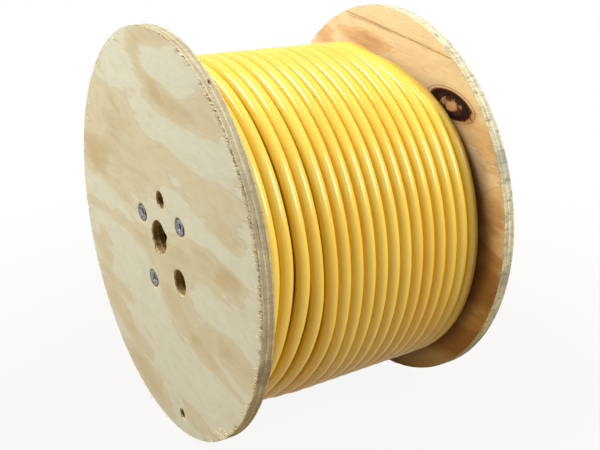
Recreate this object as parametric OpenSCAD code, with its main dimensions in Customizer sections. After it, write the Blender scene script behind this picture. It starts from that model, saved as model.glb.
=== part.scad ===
// Plywood cable spool, wound with one layer-wound length of round cable.
// The arbor axis runs along Y, Z points up, and the origin lies on the arbor axis, midway between
// the two flanges' outer faces. All sizes are in millimetres.

/* [Flanges] */
// Diameter of both flanges
flange_d = 610; // [580:5:680]
// Thickness of the plywood
ply_t = 18.5; // [15:0.5:24]
// Clear width between the two flanges
traverse = 378; // [330:1:400]
// Depth of the groove that holds each end of the drum
groove_depth = 6; // [4:0.5:8]

/* [Holes] */
// Diameter of the arbor hole
arbor_d = 50; // [38:1:60]
// Diameter of the hole for a drive pin
drive_d = 38; // [25:1:44]
// Distance of the drive hole from the arbor axis
drive_reach = 81.7; // [75:0.1:90]
// Direction of the drive hole, seen along +Y
drive_angle = -37.7; // [-45:0.1:-30]
// Diameter of the hole that gives reach to the cable's inner end
start_d = 26; // [20:1:30]
// Distance of the start hole from the arbor axis
start_reach = 61; // [56:0.5:66]
// Direction of the start hole
start_angle = 77.8; // [70:0.1:85]
// Diameter of the tie hole near the rim
tie_d = 16; // [10:1:20]
// Distance of the tie hole from the arbor axis
tie_reach = 275; // [268:1:278]
// Direction of the tie hole
tie_angle = -81.4; // [-90:0.1:-75]

/* [Drum] */
// Outer diameter of the fibre tube
drum_d = 254; // [240:1:280]
// Wall of the fibre tube
drum_wall = 10; // [6:0.5:14]

/* [Tie bolts] */
// Diameter of the bolt's shank
bolt_d = 9.5; // [8:0.5:11]
// Width across the flats of the bolt's head
head_af = 14.3; // [13:0.1:17]
// Height of the bolt's head
head_h = 6.2; // [5:0.1:7]
// Diameter of the washer
washer_d = 25.4; // [22:0.1:28]
// Thickness of the washer
washer_t = 1.8; // [1.2:0.1:2.2]
// Room round a washer in its counterbore
washer_room = 2.3; // [1:0.1:4]
// Distances of the three bolts from the arbor axis
bolt_reach = [63.3, 81, 82];
// Directions of the three bolts
bolt_angle = [159.4, 25.9, -114];

/* [Tee nuts] */
// Diameter of the tee nut's flange
nut_d = 26; // [24:0.5:28]
// Thickness of the tee nut's flange
nut_t = 1.8; // [1.2:0.1:2.4]
// Outer diameter of the threaded barrel
barrel_d = 12.6; // [12.4:0.1:14]
// Length of the threaded barrel behind the flange
barrel_h = 12; // [9:0.5:12]
// Depth of the shallow counterbore that the flange sits in
nut_recess = 2.6; // [2.4:0.1:3.5]
// Room round the flange in its counterbore
nut_room = 3; // [1:0.1:4]
// Width, thickness and length of one prong
prong = [4.5, 1.2, 6];
// Depth of the notch that each prong was bent out of
notch_depth = 2.6; // [2:0.1:3.5]

/* [Cable] */
// Diameter of the cable
cable_d = 19.2; // [17:0.1:22]
// Gap between neighbouring turns of the outer layer
turn_gap = 1.4; // [1:0.1:3]
// Distance from the front flange to the middle of the first whole turn
first_turn = 26.7; // [24:0.1:30]
// Extra gap after the second turn
wide_gap_a = 3; // [0:0.1:4]
// Extra gap after the fourth turn
wide_gap_b = 2.4; // [0:0.1:4]
// Diameter over the outer layer at the front flange
wound_d_front = 532; // [500:1:540]
// Diameter over the outer layer at the rear flange
wound_d_rear = 523; // [495:1:535]
// How far the winding hangs below the arbor axis
sag = 10.6; // [0:0.1:14]
// Height of one layer of the winding above the next
layer_rise = 18.2; // [16:0.1:20]
// Distance from the front flange to the middle of the cable's way into the drum
entry_inset = 30; // [24:1:60]
// Straight run inside the drum before the inner end bends
entry_run = 6; // [4:0.5:12]
// Radius of the inner end's bend
entry_bend = 30; // [28:1:36]
// Straight length after the bend
entry_tail = 40; // [30:1:50]

/* [Staple] */
// Thickness of the staple's square wire
staple_wire = 3; // [2:0.1:3.2]
// Length of each leg inside the flange
staple_bite = 12; // [8:0.5:14]

/* [Hidden] */
$fn = 96;

PLYWOOD = [0.84, 0.78, 0.62];
PLYWOOD_REAR = [0.92, 0.78, 0.58];
FIBRE = [0.60, 0.44, 0.27];
ZINC = [0.62, 0.64, 0.68];
JACKET = [0.93, 0.72, 0.18];
JACKET_DARK = [0.70, 0.48, 0.12];

fit = 0.2;            // clearance between parts that only sit in or on each other
cut = 1;              // how far a cutting solid runs past a face

overall = traverse + 2 * ply_t;
front_in = -traverse / 2;              // inner face of the front flange
rear_in = traverse / 2;
front_out = -overall / 2;
rear_out = overall / 2;
drum_ri = drum_d / 2 - drum_wall;

head_recess = washer_t + head_h + 2 * fit;
bolt_tip = front_out + nut_recess - nut_t + 2 * fit;

// ---- the outer layer's course ----
// Each turn lies square to the axis and steps over to the next one near the bottom of the spool.
// Turn 0 is the part turn against the front flange, where the layer begins.
turn_pitch = cable_d + turn_gap;
turns = floor((traverse - first_turn - wide_gap_a - wide_gap_b - cable_d / 2 - staple_wire) / turn_pitch) + 1;
step_span = 56;       // angle over which a turn steps over
step_front = -12;     // where the first turn steps over, in degrees from +X towards +Z
step_rear = -62;      // where the last turns step over
step_reach = 4;       // turns over which the one place drifts to the other
layer_start = -150;   // where the layer comes up out of the one below
climb_span = 60;      // angle over which it comes up
tail_angle = 200;     // where the last turn ends
tail_span = 40;       // angle over which the tail moves over to the rear flange
rings_per_turn = 20;
tube_sides = 6;
end_angle = 360 * (turns - 1) + tail_angle;
ring_count = round((end_angle - layer_start) / 360 * rings_per_turn);
tail_lift = staple_wire + 2 * fit;
chord = cos(180 / rings_per_turn);     // how far a straight run between rings cuts the circle

function ease(u) = u <= 0 ? 0 : u >= 1 ? 1 : u * u * (3 - 2 * u);
function turn_y(k) = front_in + (k == 0 ? cable_d / 2 + fit :
    first_turn + (k - 1) * turn_pitch + (k > 2 ? wide_gap_a : 0) + (k > 4 ? wide_gap_b : 0));
function step_at(k) = 360 * (k - 1) + step_rear
    + (step_front - step_rear) * exp(-pow((k - 1) / step_reach, 2.5));
function stepped(a, k) = (turn_y(k) - turn_y(k - 1)) * ease((a - step_at(k)) / step_span + 0.5);
function course_y(a, k = 1) = k > turns ? turn_y(0) : stepped(a, k) + course_y(a, k + 1);
tail_y = rear_in - cable_d / 2 - 2 * fit;
function tail_part(a) = ease((a - end_angle + tail_span) / tail_span);
function path_y(a) = let(t = tail_part(a), y = course_y(a)) y + t * (tail_y - y);
function wound_r(y) = (wound_d_front + (wound_d_rear - wound_d_front) * (y - front_in) / traverse) / 2;
function path_r(a) = wound_r(path_y(a)) - cable_d / 2
    - layer_rise * (1 - ease((a - layer_start) / climb_span)) + tail_lift * tail_part(a);
function path_at(a) = [path_r(a) * cos(a), path_y(a), path_r(a) * sin(a) - sag];
function unit(v) = v / norm(v);
function heading(a) = unit(path_at(a + 0.5) - path_at(a - 0.5));

start_heading = unit([-sin(layer_start), 0, cos(layer_start)]);
start_point = path_at(layer_start);
end_heading = unit([-sin(end_angle), 0, cos(end_angle)]);
end_point = path_at(end_angle);
course = concat(
    [start_point - cable_d * start_heading],
    [for (i = [0:ring_count]) path_at(layer_start + i * (end_angle - layer_start) / ring_count)],
    [end_point + cable_d * end_heading]);
course_headings = concat(
    [start_heading, start_heading],
    [for (i = [1:ring_count - 1]) heading(layer_start + i * (end_angle - layer_start) / ring_count)],
    [end_heading, end_heading]);

// ---- the cable's inner end, inside the drum ----
entry_angle = 110;                     // where it comes through the drum's wall
entry_y = front_in + entry_inset;
entry_r = sqrt(pow(drum_d / 2, 2) - pow(cable_d / 2, 2));
bend_r = drum_ri - entry_run;          // distance from the axis where the bend begins
inward = [-cos(entry_angle), 0, -sin(entry_angle)];
aside = [sin(entry_angle), 0, -cos(entry_angle)];
bend_steps = 6;
inner_sides = 8;
inner_course = concat(
    [[0, entry_y, 0] - entry_r * inward],
    [for (i = [0:bend_steps]) let(b = 90 * i / bend_steps)
        [0, entry_y, 0] - bend_r * inward
        + entry_bend * (sin(b) * inward + (1 - cos(b)) * aside)],
    [[0, entry_y, 0] - (bend_r - entry_bend) * inward + (entry_bend + entry_tail) * aside]);
inner_headings = concat(
    [inward],
    [for (i = [0:bend_steps]) let(b = 90 * i / bend_steps) cos(b) * inward + sin(b) * aside],
    [aside]);

// ---- tubes ----
function ring(p, t, r, sides, flat) = let(b = unit([0, 1, 0] - t.y * t), n = cross(b, t))
    [for (s = [0:sides - 1]) p + r * (cos(360 * s / sides + flat) * n + sin(360 * s / sides + flat) * b)];
function rings(path, dirs, r, sides, flat) =
    [for (i = [0:len(path) - 1]) each ring(path[i], dirs[i], r, sides, flat)];
function next(s, sides) = (s + 1) % sides;

module tube(path, dirs, d, sides, flat = 0) {
    last = (len(path) - 1) * sides;
    sides_faces = [for (i = [0:len(path) - 2]) for (s = [0:sides - 1])
        let(a = i * sides + s, b = i * sides + next(s, sides), c = a + sides, e = b + sides)
        each [[a, e, b], [a, c, e]]];
    caps = [for (s = [1:sides - 2]) each [[0, s, s + 1], [last, last + s + 1, last + s]]];
    polyhedron(rings(path, dirs, d / 2, sides, flat), concat(sides_faces, caps));
}

// Least distance between points of the outer layer that lie from half a turn to one and a half apart
function least_gap(points, per_turn) = min([for (i = [0:len(points) - 1])
    for (j = [i + floor(per_turn / 2):min(i + floor(per_turn * 3 / 2), len(points) - 1)])
    norm(points[i] - points[j])]);

// ---- places ----
module at_polar(reach, angle, y) { translate([reach * cos(angle), y, reach * sin(angle)]) children(); }
module along_y(d, h) { rotate([-90, 0, 0]) cylinder(d = d, h = h); }
module ring_y(d_out, d_in, h) {
    difference() {
        along_y(d_out, h);
        translate([0, -cut, 0]) along_y(d_in, h + 2 * cut);
    }
}

// ---- the tee nut and the room that it takes ----
module prongs(grow, length) {
    for (a = [0:120:240]) rotate([0, 60 + a, 0])
        translate([nut_d / 2 - prong.y - 1.5 - grow, 0, -prong.x / 2 - grow])
            cube([prong.y + 2 * grow, length, prong.x + 2 * grow]);
}
module nut_notches() {
    for (a = [0:120:240]) rotate([0, a, 0])
        translate([nut_d / 2 - notch_depth, -cut, -prong.x / 2]) cube([nut_d, nut_t + 2 * cut, prong.x]);
}
module nut_room_cut() {
    translate([0, -cut, 0]) along_y(nut_d + 2 * nut_room, nut_recess + cut);
    along_y(barrel_d + 2 * fit, ply_t + cut);
    translate([0, nut_recess - cut, 0]) prongs(fit, prong.z + cut + fit);
}
module tee_nut(i) {
    color(ZINC) at_polar(bolt_reach[i], bolt_angle[i], front_out + nut_recess - nut_t) difference() {
        union() {
            difference() {
                along_y(nut_d, nut_t);
                nut_notches();
            }
            translate([0, nut_t, 0]) {
                along_y(barrel_d, barrel_h);
                translate([0, -nut_t / 2, 0]) prongs(0, prong.z + nut_t / 2);
            }
        }
        translate([0, -cut, 0]) along_y(bolt_d + fit, barrel_h + nut_t + 2 * cut);
    }
}

// ---- the flanges ----
module flange_blank() { along_y(flange_d, ply_t); }
module drum_groove(y, depth) {
    translate([0, y, 0]) ring_y(drum_d + 2 * fit, 2 * (drum_ri - fit), depth);
}

module front_flange() {
    color(PLYWOOD) difference() {
        translate([0, front_out, 0]) flange_blank();
        translate([0, front_out - cut, 0]) along_y(arbor_d, ply_t + 2 * cut);
        at_polar(drive_reach, drive_angle, front_out - cut) along_y(drive_d, ply_t + 2 * cut);
        at_polar(start_reach, start_angle, front_out - cut) along_y(start_d, ply_t + 2 * cut);
        at_polar(tie_reach, tie_angle, front_out - cut) along_y(tie_d, ply_t + 2 * cut);
        drum_groove(front_in - groove_depth, groove_depth + cut);
        for (i = [0:2]) at_polar(bolt_reach[i], bolt_angle[i], front_out) nut_room_cut();
    }
}

module rear_flange() {
    color(PLYWOOD_REAR) difference() {
        translate([0, rear_in, 0]) flange_blank();
        translate([0, rear_in - cut, 0]) along_y(arbor_d, ply_t + 2 * cut);
        at_polar(drive_reach, drive_angle, rear_in - cut) along_y(drive_d, ply_t + 2 * cut);
        drum_groove(rear_in - cut, groove_depth + cut);
        for (i = [0:2]) at_polar(bolt_reach[i], bolt_angle[i], rear_in - cut) {
            along_y(bolt_d + 2 * fit, ply_t + 2 * cut);
            translate([0, cut + ply_t - head_recess, 0])
                along_y(washer_d + 2 * washer_room, head_recess + cut);
        }
        staple_legs(fit / 2);
    }
}

// ---- the drum ----
module drum_tube() {
    color(FIBRE) difference() {
        translate([0, front_in - groove_depth, 0]) ring_y(drum_d, 2 * drum_ri, traverse + 2 * groove_depth);
        translate([0, entry_y, 0]) rotate([0, -entry_angle, 0]) rotate([0, 90, 0])
            translate([0, 0, drum_ri - drum_wall]) cylinder(d = cable_d + 4 * fit, h = 3 * drum_wall);
    }
}

// ---- the tie bolts ----
module tie_bolt(i) {
    seat = rear_out - head_recess + washer_t;
    color(ZINC) {
        at_polar(bolt_reach[i], bolt_angle[i], bolt_tip) along_y(bolt_d, seat - bolt_tip);
        at_polar(bolt_reach[i], bolt_angle[i], seat) rotate([-90, 0, 0])
            cylinder(d = head_af / cos(30), h = head_h, $fn = 6);
    }
}
module bolt_washer(i) {
    color(ZINC) at_polar(bolt_reach[i], bolt_angle[i], rear_out - head_recess)
        ring_y(washer_d, bolt_d + 2 * fit, washer_t);
}

// ---- the cable ----
module climb_pocket() {
    low = wound_r(front_in) - 3 / 2 * cable_d - layer_rise;
    wide = cable_d + 4 * fit;
    translate([0, 0, -sag]) rotate([0, -layer_start, 0]) {
        translate([low, front_in - cut, -cable_d]) cube([2 * cable_d + layer_rise, wide + cut, cable_d]);
        rotate([90, 0, 0]) mirror([0, 0, 1]) rotate_extrude(angle = climb_span + tail_span)
            translate([low, front_in - cut]) square([2 * cable_d + layer_rise, wide + cut]);
    }
}
module cable_inner_layers() {
    drop = cable_d + fit;
    r_front = wound_r(front_in) - cable_d / 2;
    r_rear = wound_r(rear_in) - cable_d / 2;
    color(JACKET_DARK) difference() {
        translate([0, front_in + fit, -sag]) rotate([-90, 0, 0])
            cylinder(r1 = r_front * chord - drop / 2, r2 = r_rear * chord - drop / 2, h = traverse - 2 * fit);
        translate([0, front_in - cut, 0]) along_y(drum_d + 2 * fit, traverse + 2 * cut);
        climb_pocket();
    }
}
module cable_outer_layer() {
    gap = least_gap(rings(course, course_headings, cable_d / 2, tube_sides, 0), rings_per_turn * tube_sides);
    echo(turns = turns, rings = len(course), least_gap_mm = gap);
    color(JACKET) tube(course, course_headings, cable_d, tube_sides);
}
module cable_inner_end() {
    color(JACKET) tube(inner_course, inner_headings, cable_d, inner_sides, 180 / inner_sides);
}

// ---- the staple that holds the cable's outer end to the rear flange ----
staple_r = cable_d / 2 + staple_wire / 2 + fit;      // each leg's distance from the cable's middle
staple_crown = tail_y - cable_d / 2 - staple_wire / 2 - fit;
module at_tail() {
    translate([end_point.x, 0, end_point.z]) rotate([0, -end_angle, 0]) children();
}
module staple_legs(grow) {
    wide = staple_wire + 2 * grow;
    at_tail() for (s = [-1, 1]) translate([s * staple_r - wide / 2, staple_crown, -wide / 2])
        cube([wide, rear_in + staple_bite + grow - staple_crown, wide]);
}
module cable_end_staple() {
    top = staple_crown - staple_wire / 2;
    reach = rear_in + staple_bite - top;
    color(ZINC) at_tail() linear_extrude(height = staple_wire, center = true) difference() {
        translate([-staple_r - staple_wire / 2, top]) square([2 * staple_r + staple_wire, reach]);
        translate([-staple_r + staple_wire / 2, top + staple_wire]) square([2 * staple_r - staple_wire, reach]);
    }
}

front_flange();
rear_flange();
drum_tube();
tie_bolt(0);  // tie_bolt_1
tie_bolt(1);  // tie_bolt_2
tie_bolt(2);  // tie_bolt_3
bolt_washer(0);  // bolt_washer_1
bolt_washer(1);  // bolt_washer_2
bolt_washer(2);  // bolt_washer_3
tee_nut(0);  // tee_nut_1
tee_nut(1);  // tee_nut_2
tee_nut(2);  // tee_nut_3
cable_inner_layers();
cable_outer_layer();
cable_inner_end();
cable_end_staple();
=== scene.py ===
"""A plywood cable spool, wound with round yellow cable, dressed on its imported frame.

The arbor axis runs along Y, Z points up, and the origin lies on the arbor axis, midway between
the two flanges' outer faces. All lengths are in metres.
"""
import logging
import math
from collections.abc import Callable, Sequence
from dataclasses import dataclass
from enum import IntEnum
from typing import Any

import bmesh
import bpy
import numpy as np
from bpy.types import Material, Mesh, Object
from mathutils import Matrix, Vector, noise
from mathutils.geometry import delaunay_2d_cdt

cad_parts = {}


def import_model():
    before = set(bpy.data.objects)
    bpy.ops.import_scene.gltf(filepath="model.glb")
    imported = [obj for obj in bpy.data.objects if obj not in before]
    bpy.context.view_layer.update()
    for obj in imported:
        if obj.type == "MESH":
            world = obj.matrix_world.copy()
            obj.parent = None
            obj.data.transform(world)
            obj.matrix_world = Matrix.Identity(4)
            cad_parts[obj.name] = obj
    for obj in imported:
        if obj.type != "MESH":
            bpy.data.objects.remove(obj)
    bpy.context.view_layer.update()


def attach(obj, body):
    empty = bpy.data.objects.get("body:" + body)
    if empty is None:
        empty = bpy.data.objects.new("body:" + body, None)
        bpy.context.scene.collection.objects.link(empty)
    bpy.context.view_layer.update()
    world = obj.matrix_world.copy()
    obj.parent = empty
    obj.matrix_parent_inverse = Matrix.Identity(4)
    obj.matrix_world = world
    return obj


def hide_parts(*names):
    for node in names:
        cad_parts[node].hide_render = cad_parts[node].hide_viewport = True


log = logging.getLogger("cable_spool")

FIT = 0.0002
ROOT = "root"
WHITE = (1.0, 1.0, 1.0, 1.0)

Array = np.ndarray
Colour = tuple[float, ...]
Triple = tuple[float, float, float]


def ease(u: Array | float) -> Array:
    """Smooth step from 0 to 1 for u from 0 to 1."""
    u = np.clip(u, 0.0, 1.0)
    return u * u * (3.0 - 2.0 * u)


def linear(red: int, green: int, blue: int) -> Colour:
    """Turns a display colour into the linear colour that a shader wants.

    Args:
        red, green, blue: The display colour, each from 0 to 255.

    Returns:
        The linear colour with an alpha of 1.
    """
    def one(c: int) -> float:
        """Turns one channel."""
        v = c / 255.0
        return v / 12.92 if v <= 0.04045 else ((v + 0.055) / 1.055) ** 2.4
    return one(red), one(green), one(blue), 1.0


def tones(*colours: tuple[int, int, int]) -> tuple[Colour, ...]:
    """Turns a row of display colours into linear ones."""
    return tuple(linear(*colour) for colour in colours)


# ---------- Sizes ----------
@dataclass(frozen=True)
class SpoolSizes:
    """Sizes that more than one piece needs."""

    flange_r: float = 0.305
    ply_t: float = 0.0185
    traverse: float = 0.378
    groove_depth: float = 0.006
    arbor_r: float = 0.025
    drive_r: float = 0.019
    drive_at: tuple[float, float] = (0.0817, -37.7)
    start_r: float = 0.013
    start_at: tuple[float, float] = (0.061, 77.8)
    tie_r: float = 0.008
    tie_at: tuple[float, float] = (0.275, -81.4)
    drum_r: float = 0.127
    drum_wall: float = 0.010
    bolt_d: float = 0.0095
    head_af: float = 0.0143
    head_h: float = 0.0062
    washer_d: float = 0.0254
    washer_t: float = 0.0018
    washer_room: float = 0.0023
    bolts_at: tuple[tuple[float, float], ...] = ((0.0633, 159.4), (0.081, 25.9), (0.082, -114.0))
    nut_d: float = 0.026
    nut_t: float = 0.0018
    barrel_d: float = 0.0126
    barrel_h: float = 0.012
    nut_recess: float = 0.0026
    cable_d: float = 0.0192

    @property
    def front_in(self) -> float:
        """Where the front flange's inner face lies on Y."""
        return -self.traverse / 2

    @property
    def rear_in(self) -> float:
        """Where the rear flange's inner face lies on Y."""
        return self.traverse / 2

    @property
    def front_out(self) -> float:
        """Where the front flange's outer face lies on Y."""
        return self.front_in - self.ply_t

    @property
    def rear_out(self) -> float:
        """Where the rear flange's outer face lies on Y."""
        return self.rear_in + self.ply_t

    @property
    def head_recess(self) -> float:
        """Depth of the counterbore that takes a washer and a bolt's head."""
        return self.washer_t + self.head_h + 2 * FIT


def polar(reach: float, angle: float, y: float = 0.0) -> Vector:
    """The point at a distance and a direction from the arbor axis, the direction in degrees."""
    a = math.radians(angle)
    return Vector((reach * math.cos(a), y, reach * math.sin(a)))


# ---------- Shader maths ----------
def operator(kind: str, swapped: bool = False) -> Callable[..., "Signal"]:
    """Makes the method that stands for one Math node.

    Args:
        kind: The node's operation.
        swapped: Whether the other value comes first, as in 1 - mask.

    Returns:
        The method.
    """
    def method(signal: "Signal", *others: Any) -> "Signal":
        """Adds the node to the signal's tree."""
        values = (*others, signal) if swapped else (signal, *others)
        return signal.sheet.node("ShaderNodeMath", {"operation": kind}, dict(enumerate(values)))
    return method


class Signal:
    """One output socket, which takes part in Python arithmetic."""

    def __init__(self, sheet: "Tree", socket: bpy.types.NodeSocket) -> None:
        """Wraps a socket of a node tree."""
        self.sheet = sheet
        self.socket = socket

    __add__ = __radd__ = operator("ADD")
    __sub__, __rsub__ = operator("SUBTRACT"), operator("SUBTRACT", True)
    __mul__ = __rmul__ = operator("MULTIPLY")
    __truediv__, __rtruediv__ = operator("DIVIDE"), operator("DIVIDE", True)
    __pow__ = operator("POWER")
    __abs__ = operator("ABSOLUTE")
    least = operator("MINIMUM")
    wave = operator("SINE")

    def step(self, low: float, high: float) -> "Signal":
        """A smooth step: 0 where this is low, 1 where it is high.

        Args:
            low: The value that gives 0. It may be above high.
            high: The value that gives 1.

        Returns:
            The step's signal.
        """
        return self.sheet.node(
            "ShaderNodeMapRange", {"interpolation_type": "SMOOTHSTEP"},
            {"Value": self, "From Min": low, "From Max": high, "To Min": 0.0, "To Max": 1.0})


class Tree:
    """A node tree whose nodes are written as expressions."""

    def __init__(self, tree: bpy.types.NodeTree) -> None:
        """Keeps the tree and clears it of the nodes that it starts with."""
        self.tree = tree
        self.tree.nodes.clear()

    def node(self, kind: str, settings: dict[str, Any] | None = None,
             inputs: dict[str | int, Any] | None = None, out: str | int = 0) -> Signal:
        """Adds any node.

        Args:
            kind: The node's type.
            settings: The node's own settings, which are set first.
            inputs: Values or signals for its sockets, by name or number.
            out: The output socket, by name or number.

        Returns:
            The output as a signal.
        """
        made = self.tree.nodes.new(kind)
        for key, value in (settings or {}).items():
            setattr(made, key, value)
        for key, value in (inputs or {}).items():
            if isinstance(value, Signal):
                self.tree.links.new(value.socket, made.inputs[key])
            elif value is not None:
                made.inputs[key].default_value = value
        return Signal(self, made.outputs[out])

    def end(self, kind: str, result: Signal) -> None:
        """Adds the tree's closing node and links the result to it."""
        self.tree.links.new(result.socket, self.tree.nodes.new(kind).inputs[0])


class Sheet(Tree):
    """A material whose nodes are written as expressions."""

    def __init__(self, name: str) -> None:
        """Makes an empty node material of that name."""
        self.material = bpy.data.materials.new(name)
        self.material.use_nodes = True
        super().__init__(self.material.node_tree)

    def place(self) -> Signal:
        """The point on the piece, in metres in the spool's frame."""
        return self.node("ShaderNodeTexCoord", out="Object")

    def parts(self, vector: Signal) -> tuple[Signal, Signal, Signal]:
        """The three numbers of a vector."""
        made = self.node("ShaderNodeSeparateXYZ", None, {0: vector})
        outs = made.socket.node.outputs
        return tuple(Signal(self, outs[i]) for i in range(3))

    def vector(self, x: Any, y: Any, z: Any) -> Signal:
        """A vector of three numbers."""
        return self.node("ShaderNodeCombineXYZ", None, {0: x, 1: y, 2: z})

    def noise(self, at: Signal, scale: float = 1.0, detail: float = 3.0, rough: float = 0.5,
              bend: float = 0.0) -> Signal:
        """Noise around 0.5 at a point.

        Args:
            at: The point.
            scale: Features for each unit of length.
            detail: Octaves.
            rough: How much the finer octaves count.
            bend: How far the noise warps itself.

        Returns:
            The noise's signal.
        """
        return self.node(
            "ShaderNodeTexNoise", {"noise_dimensions": "3D"},
            {"Vector": at, "Scale": scale, "Detail": detail, "Roughness": rough,
             "Distortion": bend}, "Fac")

    def grain(self, at: Signal, scale: Triple, detail: float, rough: float = 0.5,
              move: Triple = (0.0, 0.0, 0.0)) -> Signal:
        """Drawn-out noise around 0.5, with features for each unit along x, y and z."""
        return self.noise(self.stretch(at, scale, 0.0, move), 1.0, detail, rough)

    def mix(self, factor: Any, a: Any, b: Any, way: str = "MIX") -> Signal:
        """Mixes two colours."""
        return self.node("ShaderNodeMix", {"data_type": "RGBA", "blend_type": way},
                         {0: factor, 6: a, 7: b}, 2)

    def stretch(self, vector: Signal, scale: Triple, turn: float = 0.0,
                move: Triple = (0.0, 0.0, 0.0)) -> Signal:
        """Turns a point about Y by degrees, scales it, then moves it."""
        turned = self.node("ShaderNodeMapping", {"vector_type": "POINT"},
                           {"Vector": vector, "Rotation": (0.0, math.radians(turn), 0.0)})
        return self.node("ShaderNodeMapping", {"vector_type": "POINT"},
                         {"Vector": turned, "Scale": scale, "Location": move})

    def bump(self, height: Signal, depth: float, strength: float) -> Signal:
        """Turns heights from 0 to 1 into a normal, with the depth in metres."""
        return self.node("ShaderNodeBump", None,
                         {"Strength": strength, "Distance": depth, "Height": height}, "Normal")

    def finish(self, colour: Any, roughness: Any, normal: Signal | None = None,
               **uniform: float) -> Material:
        """Ends the sheet in one Principled shader.

        Args:
            colour: The base colour.
            roughness: The roughness.
            normal: The normal, or None.
            **uniform: Other sockets of the shader with one value all over, with _ for a space.

        Returns:
            The finished material.
        """
        inputs: dict[str | int, Any] = {
            "Base Color": colour, "Roughness": roughness, "Normal": normal}
        inputs.update({k.replace("_", " "): v for k, v in uniform.items()})
        shader = self.node("ShaderNodeBsdfPrincipled", None, inputs)
        return self.close(shader)

    def close(self, shader: Signal) -> Material:
        """Links a shader to the material's output and returns the material."""
        self.end("ShaderNodeOutputMaterial", shader)
        return self.material


# ---------- Finishes ----------
@dataclass(frozen=True)
class Oval:
    """An oval on a face: its middle and half lengths in flange radii, its turn in degrees."""

    x: float
    z: float
    long: float
    wide: float
    turn: float


@dataclass(frozen=True)
class Patch(Oval):
    """A long soft-edged patch of wood figure, and how far it darkens the wood."""

    amount: float


@dataclass(frozen=True)
class Knot(Oval):
    """A dark knot, with the colours of its parts."""

    ring: Colour = linear(120, 70, 34)
    rim: Colour = linear(96, 50, 22)
    black: Colour = linear(36, 22, 18)
    brown: Colour = linear(112, 62, 34)
    heart: Colour = linear(222, 172, 116)


@dataclass(frozen=True)
class Crack:
    """A hairline crack: its ends and its bow in flange radii, its width in metres."""

    x0: float
    z0: float
    x1: float
    z1: float
    bow: float
    width: float = 0.0009
    amount: float = 0.85
    colour: Colour = linear(104, 74, 44)


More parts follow.
